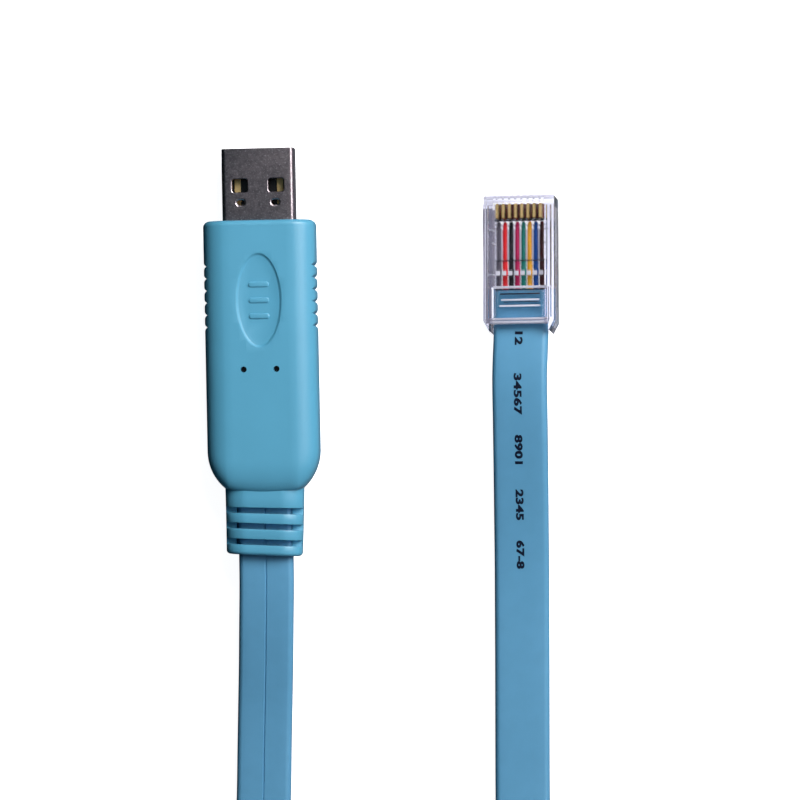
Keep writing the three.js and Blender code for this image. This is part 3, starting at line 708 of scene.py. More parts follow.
def winding(straight):
    """The hank from its outermost turn to where the cable leaves its innermost one."""
    line = []
    for number in range(HANK_HALF_TURNS):
        far = number % 2 == 0
        middle_y = HANK_TOP_Y - straight if far else HANK_TOP_Y
        start_y = HANK_TOP_Y if far else HANK_TOP_Y - straight
        side = -1 if far else 1
        run_x = HANK_X + side * winding_radius(number)
        run = round(straight / RUN_STEP)
        for i in range(run):
            y = start_y + (middle_y - start_y) * i / run
            line.append((Vector((run_x, y, HANK_Z)), 90))
        for i in range(ARC_STEPS):
            angle = math.pi * (1 if far else 0) + math.pi * i / ARC_STEPS
            radius = winding_radius(number + i / ARC_STEPS)
            x = HANK_X + radius * math.cos(angle)
            line.append((Vector((x, middle_y + radius * math.sin(angle), HANK_Z)), 90))
    last = straight - HANK_LEAVE
    run = round(last / RUN_STEP)
    for i in range(run):
        y = HANK_TOP_Y - straight + last * i / run
        line.append((Vector((HANK_X + winding_radius(HANK_HALF_TURNS), y, HANK_Z)), 90))
    return line


def whole_route(length, turn, origin, plug_length, seat):
    """The cable's centreline, with the hank's straight runs as long as the cable's length asks."""
    jacket = [
        (*in_plug(turn, origin, 0, back, JACKET_Z), JACKET_TURN)
        for back in (plug_length, plug_length - seat / 2, plug_length - seat)
    ]
    near = spline(USB_ROUTE, ROUTE_STEP)
    far = spline((*PLUG_ROUTE, *jacket), ROUTE_STEP)
    arcs = sum(math.pi * winding_radius(number + 0.5) for number in range(HANK_HALF_TURNS))
    straight = (length - measure(near) - measure(far) - arcs + HANK_LEAVE) / (HANK_HALF_TURNS + 1)
    return near + winding(straight) + far


class Lay:
    """The laid cable: its line, the way that it runs and the way that its grooved face looks."""

    def __init__(self, line):
        self.points = [point for point, _ in line]
        self.face = []
        self.side = []
        self.run = [0.0]
        last = len(line) - 1
        for i, (_, turn) in enumerate(line):
            ahead = self.points[min(i + 1, last)] - self.points[max(i - 1, 0)]
            tangent = ahead.normalized()
            left = Vector((0, 0, 1)).cross(tangent).normalized()
            up = tangent.cross(left)
            angle = math.radians(turn)
            normal = up * math.cos(angle) + left * math.sin(angle)
            self.face.append(normal)
            self.side.append(tangent.cross(normal))
            if i:
                self.run.append(self.run[-1] + (self.points[i] - self.points[i - 1]).length)

    def at(self, run, across, off):
        """The place at a length along the cable, across it and off its middle."""
        run = min(max(run, 0), self.run[-1])
        near = min(bisect_right(self.run, run), len(self.run) - 1) - 1
        t = (run - self.run[near]) / (self.run[near + 1] - self.run[near])
        lines = (self.points, self.side, self.face)
        point, side, face = (line[near].lerp(line[near + 1], t) for line in lines)
        return point + side * across + face * off


SECTION_STEPS = 6
FLAT_SHARE = 0.45
GROOVE_WALL = (0.45, 0.8)


def cable_section(cable):
    """The cable's closed section, across and off its middle, with the grooved face first."""
    half, thick, radius = cable.width / 2, cable.thickness / 2, cable.edge_radius
    groove = cable.groove_width / 2
    wall_share, wall_depth = GROOVE_WALL
    grooved = [
        (groove, thick),
        (groove * wall_share, thick - cable.groove_depth * wall_depth),
        (0, thick - cable.groove_depth),
    ]
    points = []
    for sign, middle in ((1, grooved), (-1, [(0, thick)])):
        top = []
        for i in range(SECTION_STEPS + 1):
            angle = math.pi / 2 * i / SECTION_STEPS
            top.append((half - radius + radius * math.cos(angle), thick - radius + radius * math.sin(angle)))
        top += [(half * FLAT_SHARE, thick), *middle]
        mirrored = [(-x, y) for x, y in reversed(top[:-1])]
        points += [(sign * x, sign * y) for x, y in top + mirrored]
    return points


# Plain digits, and how far each group starts from the first one in millimetres.
PRINT_GROUPS = (
    ("12", 0.0),
    ("34567", 7.1),
    ("8901", 17.1),
    ("2345", 26.2),
    ("67-8", 34.8),
)
PRINT_START = -0.4 * MM
PRINT_LAST = 60 * MM
PRINT_WEIGHT = 0.08 * MM
PRINT_LIFT = 0.02 * MM
DIGIT_SHARE = 0.70
DIGIT_SPACING = 1.06
DIGIT_STEPS = 3


def printed_numbers(cable, lay, mouth):
    """Flat numbers laid on the plain face, reading away from the plug."""
    points, faces = [], []
    text = bpy.data.curves.new("numbers", "FONT")
    writer = bpy.data.objects.new("numbers", text)
    bpy.context.scene.collection.objects.link(writer)
    text.size = cable.print_height / DIGIT_SHARE
    text.space_character = DIGIT_SPACING
    text.align_x = "LEFT"
    text.resolution_u = DIGIT_STEPS
    text.offset = PRINT_WEIGHT
    starts = []
    run = mouth
    while run > PRINT_LAST:
        starts.append(run)
        run -= cable.print_repeat
    for digits, offset in PRINT_GROUPS:
        text.body = digits
        graph = bpy.context.evaluated_depsgraph_get()
        graph.update()
        mesh = bpy.data.meshes.new_from_object(writer.evaluated_get(graph))
        for start in starts:
            base = len(points)
            for vertex in mesh.vertices:
                run = start - offset * MM - vertex.co.x * cable.print_stretch
                across = vertex.co.y - cable.print_height / 2 + cable.print_offset
                points.append(lay.at(run, -across, -(cable.thickness / 2 + PRINT_LIFT)))
            faces += [tuple(base + index for index in polygon.vertices) for polygon in mesh.polygons]
        bpy.data.meshes.remove(mesh)
    bpy.data.objects.remove(writer)
    bpy.data.curves.remove(text)
    return points, faces


# The stage

FLOOR_REACH = 1.5
FLOOR_DROP = 0.1 * MM
FLOOR_GLOW = 1.05
BACKDROP_RADIUS = 1.4
BACKDROP_HEIGHT = 0.9
BACKDROP_START = -70
BACKDROP_STEP = 8
BACKDROP_SHEETS = 24
# Where the room turns from dark to light and from one tint to the other, -1 being left and 1 right.
LEVEL_SPAN = (-0.75, 0.5)
TINT_SPAN = (-0.6, 0.1)
KEY_PLACE = (0.55, 0.30, 0.60)
KEY_WIDTH = 0.5
NEAR_PLACE = (0.16, 0.20, 0.26)
NEAR_WIDTH = 0.2
PICTURE_MIDDLE = Vector((0.02272, -0.00841, 0.007))


class CONSOLE_OT_stage(bpy.types.Operator):
    """Makes the pale floor, the soft lights and the camera"""

    bl_idname = "console.stage"
    bl_label = "Stage"

    def execute(self, context):
        stage = context.scene.console_stage
        scene = context.scene
        scene.view_settings.view_transform = "Standard"
        scene.view_settings.look = "None"
        self.make_floor(stage)
        self.make_room(scene, stage)
        self.make_lights(scene, stage)
        self.make_camera(scene, stage)
        return {"FINISHED"}

    def make_floor(self, stage):
        """The floor, and a backdrop that is seen through the clear plug alone."""
        finish = Finish("floor paper", Roughness=0.9, Emission_Strength=FLOOR_GLOW)
        paper = finish.noise(300, 2.0)
        finish.set(
            Base_Color=finish.mix(paper, shade(stage.floor, 0.98), stage.floor),
            Emission_Color=(*stage.floor, 1),
        )
        corners = rectangle((-FLOOR_REACH, -FLOOR_REACH), (FLOOR_REACH, FLOOR_REACH))
        floor = make_piece("floor", ring_at(corners, -FLOOR_DROP), [(0, 1, 2, 3)], finish.material)
        points, faces = [], []
        for i in range(BACKDROP_SHEETS + 1):
            angle = math.radians(BACKDROP_START + BACKDROP_STEP * i)
            x, y = BACKDROP_RADIUS * math.cos(angle), BACKDROP_RADIUS * math.sin(angle)
            points += [(x, y, 0.0), (x, y, BACKDROP_HEIGHT)]
            if i:
                base = 2 * i
                faces.append((base - 2, base, base + 1, base - 1))
        backdrop = make_piece("backdrop", points, faces, finish.material)
        backdrop.visible_camera = False
        for screen in (floor, backdrop):
            screen.visible_diffuse = False
            screen.visible_glossy = False

    def make_room(self, scene, stage):
        """The room's faint light, dark on the left and light on the right."""
        world = bpy.data.worlds.new("studio")
        scene.world = world
        world.use_nodes = True
        room = Shading(world.node_tree)
        direction = room.node("ShaderNodeTexCoord").outputs["Generated"]
        across = room.node("ShaderNodeSeparateXYZ", None, {0: direction}).outputs["X"]

        def spread(kind, span, least, most):
            feeds = {"Value": across, "From Min": span[0], "From Max": span[1]}
            feeds.update({"To Min": least, "To Max": most})
            return room.node("ShaderNodeMapRange", {"interpolation_type": kind}, feeds).outputs[0]

        background = world.node_tree.nodes["Background"]
        share = spread("LINEAR", TINT_SPAN, 0.0, 1.0)
        room.feed(background.inputs["Color"], room.mix(share, stage.dark_tint, stage.light_tint))
        level = spread("SMOOTHSTEP", LEVEL_SPAN, stage.room_dark, stage.room_light)
        room.feed(background.inputs["Strength"], level)

    def make_lights(self, scene, stage):
        lights = (
            ("key light", KEY_PLACE, KEY_WIDTH, stage.key_power),
            ("near light", NEAR_PLACE, NEAR_WIDTH, stage.near_power),
        )
        for name, place, width, power in lights:
            lamp = bpy.data.lights.new(name, "AREA")
            lamp.shape = "SQUARE"
            lamp.size = width
            lamp.energy = power
            holder = bpy.data.objects.new(name, lamp)
            holder.location = place
            holder.rotation_euler = Vector(place).to_track_quat("Z", "Y").to_euler()
            scene.collection.objects.link(holder)

    def make_camera(self, scene, stage):
        place = PICTURE_MIDDLE + Vector((stage.view_aside, 0, stage.view_distance))
        forward = (PICTURE_MIDDLE - place).normalized()
        hint = Vector((math.sin(stage.roll), math.cos(stage.roll), 0))
        right = forward.cross(hint).normalized()
        up = right.cross(forward)
        lens = bpy.data.cameras.new("camera")
        lens.sensor_width = 36
        lens.lens = lens.sensor_width * stage.view_distance / stage.view_width
        lens.clip_start = 0.01
        camera = bpy.data.objects.new("camera", lens)
        turn = Matrix((right, up, -forward)).transposed().to_4x4()
        camera.matrix_world = Matrix.Translation(place) @ turn
        scene.collection.objects.link(camera)
        scene.camera = camera


# The cable and its straps

class CONSOLE_OT_cable(bpy.types.Operator):
    """Makes the flat cable with its groove and its printed numbers"""

    bl_idname = "console.cable"
    bl_label = "Flat cable"

    def execute(self, context):
        cable = context.scene.console_cable
        plug = context.scene.console_plug
        turn, origin = plug_place(plug)
        lay = Lay(whole_route(cable.length, turn, origin, plug.length, plug.jacket_seat))
        section = cable_section(cable)
        rings = []
        for point, side, face in zip(lay.points, lay.side, lay.face):
            rings.append([point + side * across + face * off for across, off in section])
        piece = make_piece("console_cable", *loft(rings), jacket_finish("jacket", cable.jacket))
        smooth(piece, 40)
        dress(piece, "root", "jacket", "cable_usb_side", "cable_hank", "cable_rj45_side")
        mouth = lay.run[-1] - plug.jacket_seat - PRINT_START
        ink = ink_finish("ink", cable.ink)
        numbers = make_piece("cable_numbers", *printed_numbers(cable, lay, mouth), ink)
        dress(numbers, "root", "jacket")
        return {"FINISHED"}


STRAP_COLOUR = (0.012, 0.0125, 0.014)
STRAP_THICKNESS = 1.0 * MM
STRAP_CORNER = 1.6 * MM
STRAP_INNER_CORNER = 0.6 * MM
STRAP_EDGE = 0.25 * MM
CORNER_STEPS = 6
MERGE = 0.001 * MM


class CONSOLE_OT_straps(bpy.types.Operator):
    """Makes the two hook-and-loop straps round the hank"""

    bl_idname = "console.straps"
    bl_label = "Straps"

    def execute(self, context):
        material = strap_finish("strap", STRAP_COLOUR)
        for side in SIDES:
            self.make_strap(side, *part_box(f"tie_{side}"), material)
        return {"FINISHED"}

    def make_strap(self, side, low, high, material):
        wide, tall = high.x - low.x, high.z - low.z
        middle = (low.x + high.x) / 2, (low.z + high.z) / 2
        outer = rounded(wide, tall, STRAP_CORNER, CORNER_STEPS, *middle)
        twice = 2 * STRAP_THICKNESS
        inner = rounded(wide - twice, tall - twice, STRAP_INNER_CORNER, CORNER_STEPS, *middle)
        share = STRAP_EDGE / STRAP_THICKNESS
        levels = (low.y, share), (low.y + STRAP_EDGE, 0), (high.y - STRAP_EDGE, 0), (high.y, share)
        rings = [self.between(outer, inner, inset, y) for y, inset in levels]
        rings += [self.between(inner, outer, inset, y) for y, inset in reversed(levels)]
        rings.append(rings[0])
        piece = make_piece(f"strap_{side}", *loft(rings, closed_ends=False), material)
        with open_mesh(piece) as work:
            bmesh.ops.remove_doubles(work, verts=work.verts, dist=MERGE)
            bmesh.ops.recalc_face_normals(work, faces=work.faces)
        smooth(piece, 50)
        dress(piece, "root", "strap", f"tie_{side}")

    def between(self, first, second, share, y):
        """A ring a share of the way from the first to the second outline."""
        outline = [(a + (c - a) * share, b + (d - b) * share) for (a, b), (c, d) in zip(first, second)]
        return ring_at(outline, y, "y")


# The housing

LAND_STEPS = 2
FLANK_STEPS = 12
FLAT_STEPS = 5
FLANK_EASE = 0.6 * MM
EDGE_STEPS = 6
NOTCH_STEPS = 6
SHOULDER_STEPS = 24
ROLL_STEPS = 8
ROLL_FULLNESS = 2.2
PLAIN_START = 2 * MM
PLAIN_STEP = 2.1 * MM
EDGE_START = 0.02 * MM
CLOSEST_STATIONS = 0.015 * MM
REAR_STEP = 0.5 * MM
LEAST_FLANK = 1.1 * MM
LEAST_SLOPE = 1.2 * MM
RELIEF_STATIONS = (-2.5, 0.0, 1.5, 4, 7)
RELIEF_ROLL = 0.9
LEAN_REACH = 1.6
LEAN_EASE = 1.5
# How far a cutting tool stands out of what it cuts.
PAST = 1 * MM
SHELL_SEAT = 0.2 * MM
POCKET_CORNER = 0.8 * MM
POCKET_STEPS = 4
CHANNEL_CLEARANCE = 0.3 * MM
CHANNEL_DEPTH = 9.8 * MM
LAMP_HOLE_RADIUS = 0.5 * MM
LAMP_HOLE_STEPS = 24
OVAL_STEPS = 96
SLOT_REACH = 8 * MM
SLOT_HEIGHT = 5 * MM
BAR_ROUND = 0.48
BAR_STEPS = 8
# Levels over the thumb rest's floor and how far a bar has closed in there, in millimetres.
BAR_PROFILE = ((-0.1, 0.0), (0.03, 0.0), (0.12, 0.04), (0.18, 0.12), (0.2, 0.22))
# Levels in shares of the thumb rest's depth, and how far it has grown there in millimetres.
OVAL_PROFILE = (
    (-1.0, -0.34),
    (-0.9, -0.24),
    (-0.62, -0.1),
    (-0.3, 0.0),
    (-0.1, 0.07),
    (0.0, 0.2),
    (1.0, 0.2),
)


def flanked_ring(half, top, flat, land):
    """A ring with an upright band on each side, rounded flanks and flat broad faces."""
    quarter = [(half, land * i / LAND_STEPS) for i in range(LAND_STEPS)]
    for i in range(FLANK_STEPS):
        t = i / FLANK_STEPS
        x = half * (1 - t * t) + flat * t * t
        z = land * (1 - t) ** 2 + 2 * t * (1 - t) * (top - FLANK_EASE) + top * t * t
        quarter.append((x, z))
    quarter += [(flat * (1 - i / FLAT_STEPS), top) for i in range(FLAT_STEPS + 1)]
    over = quarter + [(-x, z) for x, z in reversed(quarter[:-1])]
    return over + [(x, -z) for x, z in reversed(over[1:-1])]


def arc_inset(distance, radius):
    """How far a round corner of that radius has closed in, a distance from its end."""
    if distance >= radius:
        return 0.0
    return radius - math.sqrt(max(0.0, radius**2 - (radius - distance) ** 2))


def notch_inset(distance, housing):
    """Depth of the grip notches, which are parabolas, at a distance from the front."""
    for i in range(housing.grip_count):
        offset = abs(distance - housing.grip_first - i * housing.grip_pitch) / (housing.grip_width / 2)
        if offset < 1:
            t = 1 - offset
            return housing.grip_depth * t * t
    return 0.0


class CONSOLE_OT_housing(bpy.types.Operator):
    """Makes the moulded housing with its grips, thumb rest, lamp holes and strain relief"""

    bl_idname = "console.housing"
    bl_label = "Housing"

    def execute(self, context):
        housing = context.scene.console_housing
        cable = context.scene.console_cable
        neck_y = MOUTH_Y + housing.relief_length
        relief = make_piece("relief", *loft(self.relief_rings(housing, neck_y)))
        combine(relief, self.slots(housing, neck_y))
        soften(relief, housing.rib_round, angle=50)
        piece = make_piece("housing", *loft(self.rings(housing, neck_y)))
        combine(piece, [relief], "UNION")
        combine(piece, self.hollows(housing, cable))
        combine(piece, self.thumb_bars(housing), "UNION")
        self.lean(piece, housing, neck_y)
        set_materials(piece, moulded_finish("housing plastic", housing.plastic))
        smooth(piece, 28)
        dress(piece, "root", "housing", "adapter_housing")
        return {"FINISHED"}

    def lean(self, piece, housing, neck_y):
        """Leans the strain relief a little to one side, as its cable pulls it."""
        start = neck_y + housing.bend_start
        reach = start - MOUTH_Y
        for vertex in piece.data.vertices:
            share = max(0.0, start - vertex.co.y) / reach
            eased = min(1.0, share * LEAN_REACH) ** LEAN_EASE
            vertex.co.y -= vertex.co.x * math.tan(housing.bend) * eased
            vertex.co.x -= housing.bend_shift * share * share

    def stations(self, housing, length):
        """Distances from the front at which the housing is cut across."""
        places = {0.0, EDGE_START, length}
        for i in range(1, EDGE_STEPS + 1):
            places.add(housing.front_edge * (i / EDGE_STEPS) ** 2)
            places.add(housing.front_corner * (i / EDGE_STEPS) ** 2)
        for i in range(housing.grip_count):
            middle = housing.grip_first + i * housing.grip_pitch
            for j in range(-NOTCH_STEPS, NOTCH_STEPS + 1):
                places.add(middle + housing.grip_width / 2 * j / NOTCH_STEPS)
        shoulder = length - housing.shoulder_length
        place = housing.front_corner + PLAIN_START
        while place < shoulder:
            places.add(place)
            place += PLAIN_STEP
        for i in range(SHOULDER_STEPS + 1):
            places.add(shoulder + housing.shoulder_length * i / SHOULDER_STEPS)
        roll = length - housing.roll_length
        for i in range(ROLL_STEPS + 1):
            places.add(roll + housing.roll_length * math.sin(math.pi / 2 * i / ROLL_STEPS))
        kept = []
        for place in sorted(places):
            if not kept or place - kept[-1] > CLOSEST_STATIONS:
                kept.append(place)
        kept[-1] = length
        return kept

    def rings(self, housing, neck_y):
        """The housing from its front to its neck, with the grip notches pressed into its sides."""
        half = (HOUSING_HIGH.x - HOUSING_LOW.x) / 2
        top = (HOUSING_HIGH.z - HOUSING_LOW.z) / 2
        length = FRONT_Y - neck_y
        rings = []
        for place in self.stations(housing, length):
            width = half - arc_inset(place, housing.front_corner)
            high = top - arc_inset(place, housing.front_edge)
            past = place - (length - housing.shoulder_length)
            if past > 0:
                width -= housing.shoulder_radius - math.sqrt(housing.shoulder_radius**2 - past**2)
            rolled = max(0.0, (place - (length - housing.roll_length)) / housing.roll_length)
            drop = 1 - math.sqrt(max(0.0, 1 - rolled**ROLL_FULLNESS))
            high -= (top - housing.relief_height / 2 + REAR_STEP) * drop
            flat = min(housing.flat_width / 2, width - LEAST_FLANK)
            land = min(housing.side_land / 2, high - LEAST_SLOPE)
            limit = half - notch_inset(place, housing)
            bulge = housing.rear_bulge * rolled**2
            made = []
            for x, z in flanked_ring(width, high, flat, land):
                x = max(-limit, min(limit, x))
                back = bulge * max(0.0, 1 - (x / (housing.relief_width / 2)) ** 2)
                made.append(Vector((x, FRONT_Y - place - back, MID_Z + z)))
            rings.append(made)
        return rings

    def relief_rings(self, housing, neck_y):
        """The strain relief, from inside the housing to its round rear edge."""
        half, top = housing.relief_width / 2, housing.relief_height / 2
        narrow = housing.relief_end_width / 2
        length, corner = housing.relief_length, housing.relief_corner
        places = [place * MM for place in RELIEF_STATIONS]
        for i in range(EDGE_STEPS + 1):
            places.append(length - corner + corner * math.sin(math.pi / 2 * i / EDGE_STEPS))
        rings = []
        for place in places:
            width = half + (narrow - half) * max(0.0, place) / length
            inset = arc_inset(length - place, corner)
            high = top - inset * RELIEF_ROLL
            ring = flanked_ring(width - inset, high, housing.relief_flat / 2, housing.relief_land / 2)
            rings.append(ring_at([(x, MID_Z + z) for x, z in ring], neck_y - place, "y"))
        return rings

    def hollows(self, housing, cable):
        """The shell's pocket, the cable's channel, the thumb rest and the lamp holes."""
        shell = SHELL_HIGH - SHELL_LOW
        seat, clear = 2 * SHELL_SEAT, 2 * CHANNEL_CLEARANCE
        pocket = rounded(shell.x + seat, shell.z + seat, POCKET_CORNER, POCKET_STEPS, 0, MID_Z)
        corner = cable.thickness / 2
        channel = rounded(cable.width + clear, cable.thickness + clear, corner, CORNER_STEPS, 0, MID_Z)
        tools = [
            prism("pocket", pocket, SHELL_LOW.y - SHELL_SEAT, FRONT_Y + PAST, "y"),
            prism("channel", channel, MOUTH_Y - PAST, MOUTH_Y + CHANNEL_DEPTH, "y"),
            self.oval(housing),
        ]
        for side in SIDES:
            low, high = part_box(f"indicator_{side}")
            centre = (low + high) / 2
            circle = round_outline(LAMP_HOLE_RADIUS, LAMP_HOLE_RADIUS, LAMP_HOLE_STEPS, centre.x, centre.y)
            tools.append(prism("lamp hole", circle, low.z, HOUSING_HIGH.z + PAST))
        return tools

    def thumb_bars(self, housing):
        """Plain raised bars across the thumb rest."""
        floor = HOUSING_HIGH.z - housing.oval_depth
        middle = FRONT_Y - housing.oval_from_front
        bars = []
        for i in (-1, 0, 1):
            rings = []
            for level, inset in BAR_PROFILE:
                wide, long = housing.bar_width - 2 * inset * MM, housing.bar_length - 2 * inset * MM
                outline = rounded(wide, long, long * BAR_ROUND, BAR_STEPS, 0, middle + i * housing.bar_pitch)
                rings.append(ring_at(outline, floor + level * MM))
            bars.append(make_piece("bar", *loft(rings)))
        return bars

    def oval(self, housing):
        """The thumb rest, with a sloping wall and a rounded rim."""
        middle = FRONT_Y - housing.oval_from_front
        rings = []
        for level, grow in OVAL_PROFILE:
            up = housing.oval_depth if level <= 0 else PAST
            across, along = housing.oval_width / 2 + grow * MM, housing.oval_length / 2 + grow * MM
            outline = round_outline(across, along, OVAL_STEPS, 0, middle)
            rings.append(ring_at(outline, HOUSING_HIGH.z + level * up))
        return make_piece("oval", *loft(rings))

    def slots(self, housing, neck_y):
        """Slots across the strain relief, those of the lower face half a pitch further forward."""
        web = housing.slot_web / 2
        tools = []
        for i in range(housing.slot_count):
            front = neck_y - housing.slot_first - i * housing.slot_pitch + housing.slot_length / 2
            for step, low, high in ((0, web, SLOT_HEIGHT), (housing.slot_pitch / 2, -SLOT_HEIGHT, -web)):
                near = (-SLOT_REACH, front + step - housing.slot_length, MID_Z + low)
                tools.append(block("slot", near, (SLOT_REACH, front + step, MID_Z + high)))
        return tools


# The metal shell

NYLON_BLACK = (0.006, 0.006, 0.007)
LENS_BLACK = (0.004, 0.004, 0.006)
CONTACT_ROUND = 0.12 * MM
BLADE_ROUND = 0.1 * MM
SHELL_STEPS = 8
LEAST_INNER_CORNER = 0.2 * MM
DIMPLE_CORNER = 0.35 * MM
SEAM_HALF = 0.04 * MM
SEAM_DEPTH = 0.1 * MM
# Distances from the tip and how far the sheet's edge closes in there, in millimetres.
TIP_PROFILE = ((0.0, 0.06), (0.03, 0.02), (0.08, 0.0))
# Depths under the shell's face in millimetres, and the share of the rolled edge that a hole is wider there.
HOLE_PROFILE = ((0.6, 0.0), (0.24, 0.0), (0.13, 0.12), (0.05, 0.45), (0.0, 1.0), (-0.1, 1.0))


class CONSOLE_OT_usb_metal(bpy.types.Operator):
    """Makes the metal shell and gives its insulator, the contacts and the indicators their finishes"""

    bl_idname = "console.usb_metal"
    bl_label = "USB plug"

    def execute(self, context):
        self.make_shell(context.scene.console_shell)
        finish_node("usb_insulator", moulded_finish("black nylon", NYLON_BLACK, 0.25))
        gold = gold_finish("gold flash")
        for family, count, width in (("usb", USB_CONTACTS, CONTACT_ROUND), ("rj45", WIRE_COUNT, BLADE_ROUND)):
            for i in range(count):
                finish_node(f"{family}_contact_{i + 1}", gold)
                crown(f"{family}_contact_{i + 1}", width)
        lens = moulded_finish("smoked lens", LENS_BLACK, 0.1)
        for side in SIDES:
            finish_node(f"indicator_{side}", lens)
        return {"FINISHED"}

    def make_shell(self, shell):
        extent = SHELL_HIGH - SHELL_LOW
        outline = rounded(extent.x, extent.z, shell.corner, SHELL_STEPS, 0, MID_Z)
        rings = []
        for back, inset in [(back * MM, inset * MM) for back, inset in TIP_PROFILE] + [(extent.y, 0.0)]:
            wide, tall = 1 - inset / (extent.x / 2), 1 - inset / (extent.z / 2)
            ring = [(x * wide, MID_Z + (z - MID_Z) * tall) for x, z in outline]
            rings.append(ring_at(ring, SHELL_HIGH.y - back, "y"))
        piece = make_piece("shell", *loft(rings))
        low_y, high_y = SHELL_LOW.y - PAST, SHELL_HIGH.y + PAST
        wall, corner = shell.wall, max(LEAST_INNER_CORNER, shell.corner - shell.wall)
        inside = rounded(extent.x - 2 * wall, extent.z - 2 * wall, corner, SHELL_STEPS, 0, MID_Z)
        tools = [prism("inside", inside, low_y, high_y, "y")]
        window_y = SHELL_HIGH.y - shell.window_from_tip
        dimple_y = FRONT_Y + shell.dimple_from_housing
        for side in (-1, 1):
            for up in (-1, 1):
                window = (side * shell.window_offset, window_y, shell.window_width, shell.window_length)
                tools.append(self.flared_hole(up, *window, shell.window_corner, shell.window_rim))
                dimple = (side * shell.dimple_offset, dimple_y, shell.dimple_width, shell.dimple_length)
                tools.append(self.flared_hole(up, *dimple, DIMPLE_CORNER, shell.dimple_rim))
        seam_top = SHELL_LOW.z + wall + SEAM_DEPTH
        tools.append(block("seam", (-SEAM_HALF, low_y, SHELL_LOW.z - PAST), (SEAM_HALF, high_y, seam_top)))
        combine(piece, tools)
        set_materials(piece, nickel_finish("nickel plate"))
        smooth(piece, 12)
        dress(piece, "root", "shell_metal", "usb_shell")

    def flared_hole(self, up, x, y, width, length, corner, rim):
        """A cutting tool for a hole whose edge on the outside is rolled in."""
        face = SHELL_HIGH.z if up > 0 else SHELL_LOW.z
        rings = []
        for depth, share in HOLE_PROFILE:
            grow = rim * share
            outline = rounded(width + 2 * grow, length + 2 * grow, corner + grow, CORNER_STEPS, x, y)
            rings.append(ring_at(outline, face - up * depth * MM))
        return make_piece("hole", *loft(rings))


def crown(name, width):
    """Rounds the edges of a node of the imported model, without touching its mesh."""
    modifier = NODES[name].modifiers.new("crown", "BEVEL")
    modifier.width = width
    modifier.segments = 3
    modifier.limit_method = "ANGLE"


def finish_node(name, material):
    """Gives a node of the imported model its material."""
    node = NODES[name]
    if not node.material_slots:
        node.data.materials.append(material)
    for slot in node.material_slots:
        slot.material = material


# The clear plug

# The insulation of the wires, from left to right.
WIRES = (
    ("grey", (0.105, 0.092, 0.118)),
    ("red", (0.85, 0.012, 0.016)),
    ("black", (0.004, 0.004, 0.007)),
    ("magenta", (0.52, 0.005, 0.085)),
    ("green", (0.004, 0.20, 0.155)),
    ("yellow", (1.0, 0.43, 0.022)),
    ("blue", (0.004, 0.075, 0.34)),
    ("brown", (0.060, 0.006, 0.007)),
)

# Small forms inside the clear plug, among them painted highlights, painted shade and a painted reflection:
# from the nose, across and up, in millimetres.
# White bars with a painted glow: frosted marks, and painted highlights on the crimp bars.
FROSTED_AND_HIGHLIGHT_BARS = (
    ((4.45, 4.70), (-4.3, 4.2), (3.2, 3.5)),
    ((5.25, 5.50), (-5.3, 4.7), (3.2, 3.5)),
    ((7.50, 7.70), (-4.6, 4.4), (3.2, 3.5)),
    ((14.85, 15.25), (-4.3, 4.5), (5.0, 5.3)),
    ((17.05, 17.32), (-3.0, 3.3), (5.5, 5.75)),
    ((18.0, 18.3), (-3.3, 3.5), (5.45, 5.55)),
    ((20.25, 20.55), (-4.7, 4.7), (5.3, 6.45)),
    ((20.75, 21.12), (-4.7, 4.7), (5.3, 6.45)),
)
SIDE_PAD = ((12.8, 13.15), (-5.1, -4.1), (5.2, 5.3))
# Painted shade: near-black bars where shadow falls inside the plug, under the blade ends, behind the ribs and
# beside the crimp bars.
PAINTED_SHADE_BARS = (
    ((3.62, 4.05), (-4.15, 4.15), (4.36, 4.46)),
    ((10.45, 10.62), (-4.15, 4.15), (4.12, 4.2)),
    ((15.32, 15.5), (-4.0, 4.3), (4.85, 4.95)),
    ((16.05, 16.30), (-3.2, 3.4), (5.45, 5.55)),
    ((17.45, 17.56), (-2.6, 3.3), (5.45, 5.6)),
)
# Painted reflection and shade: a dark brown strip on the floor under the blades, which stands for the gold
# mirrored there in shadow.
GOLD_REFLECTION_BAR = ((1.2, 3.62), (-4.15, 4.15), (4.34, 4.44))
# Painted shade: a see-through dark sheet along the plug's left side, which darkens that side.
LEFT_SHADE_SHEET = ((1.65, 20.6), (-5.72, -4.35), (1.0, 1.6))
# What is cut down into the plug from its upper face: from the nose, half its width and its depth.
TOP_CUTS = (
    ("anchor", (12.3, 13.2), 4.3, 1.3),
    ("crimp", (15.75, 18.5), 3.5, 1.2),
)
SIDE_LINES = (-5.0, 4.65, 5.35)

# The plug's materials after the clear one, by their place in its list.
FROSTED_AND_GLOW, PAINTED_SHADE, PAINTED_REFLECTION, LEFT_SHADE, POLISHED = range(1, 6)
# Near-black of the bars of painted shade inside the clear plug.
PAINTED_SHADE_BLACK = (0.010, 0.012, 0.020)
# Dark brown of the painted gold reflection in shade under the blades.
REFLECTED_GOLD_SHADE = (0.17, 0.045, 0.040)
WINDOW_ALPHA = 0.4
WINDOW_HALF = 4.25 * MM
WINDOW_FRONT = 1.2 * MM

LIP_HALF = 4.86 * MM
LIP_SETBACK = 1.1 * MM
REAR_INSET = 0.87 * MM
REAR_RISE = 1.65 * MM
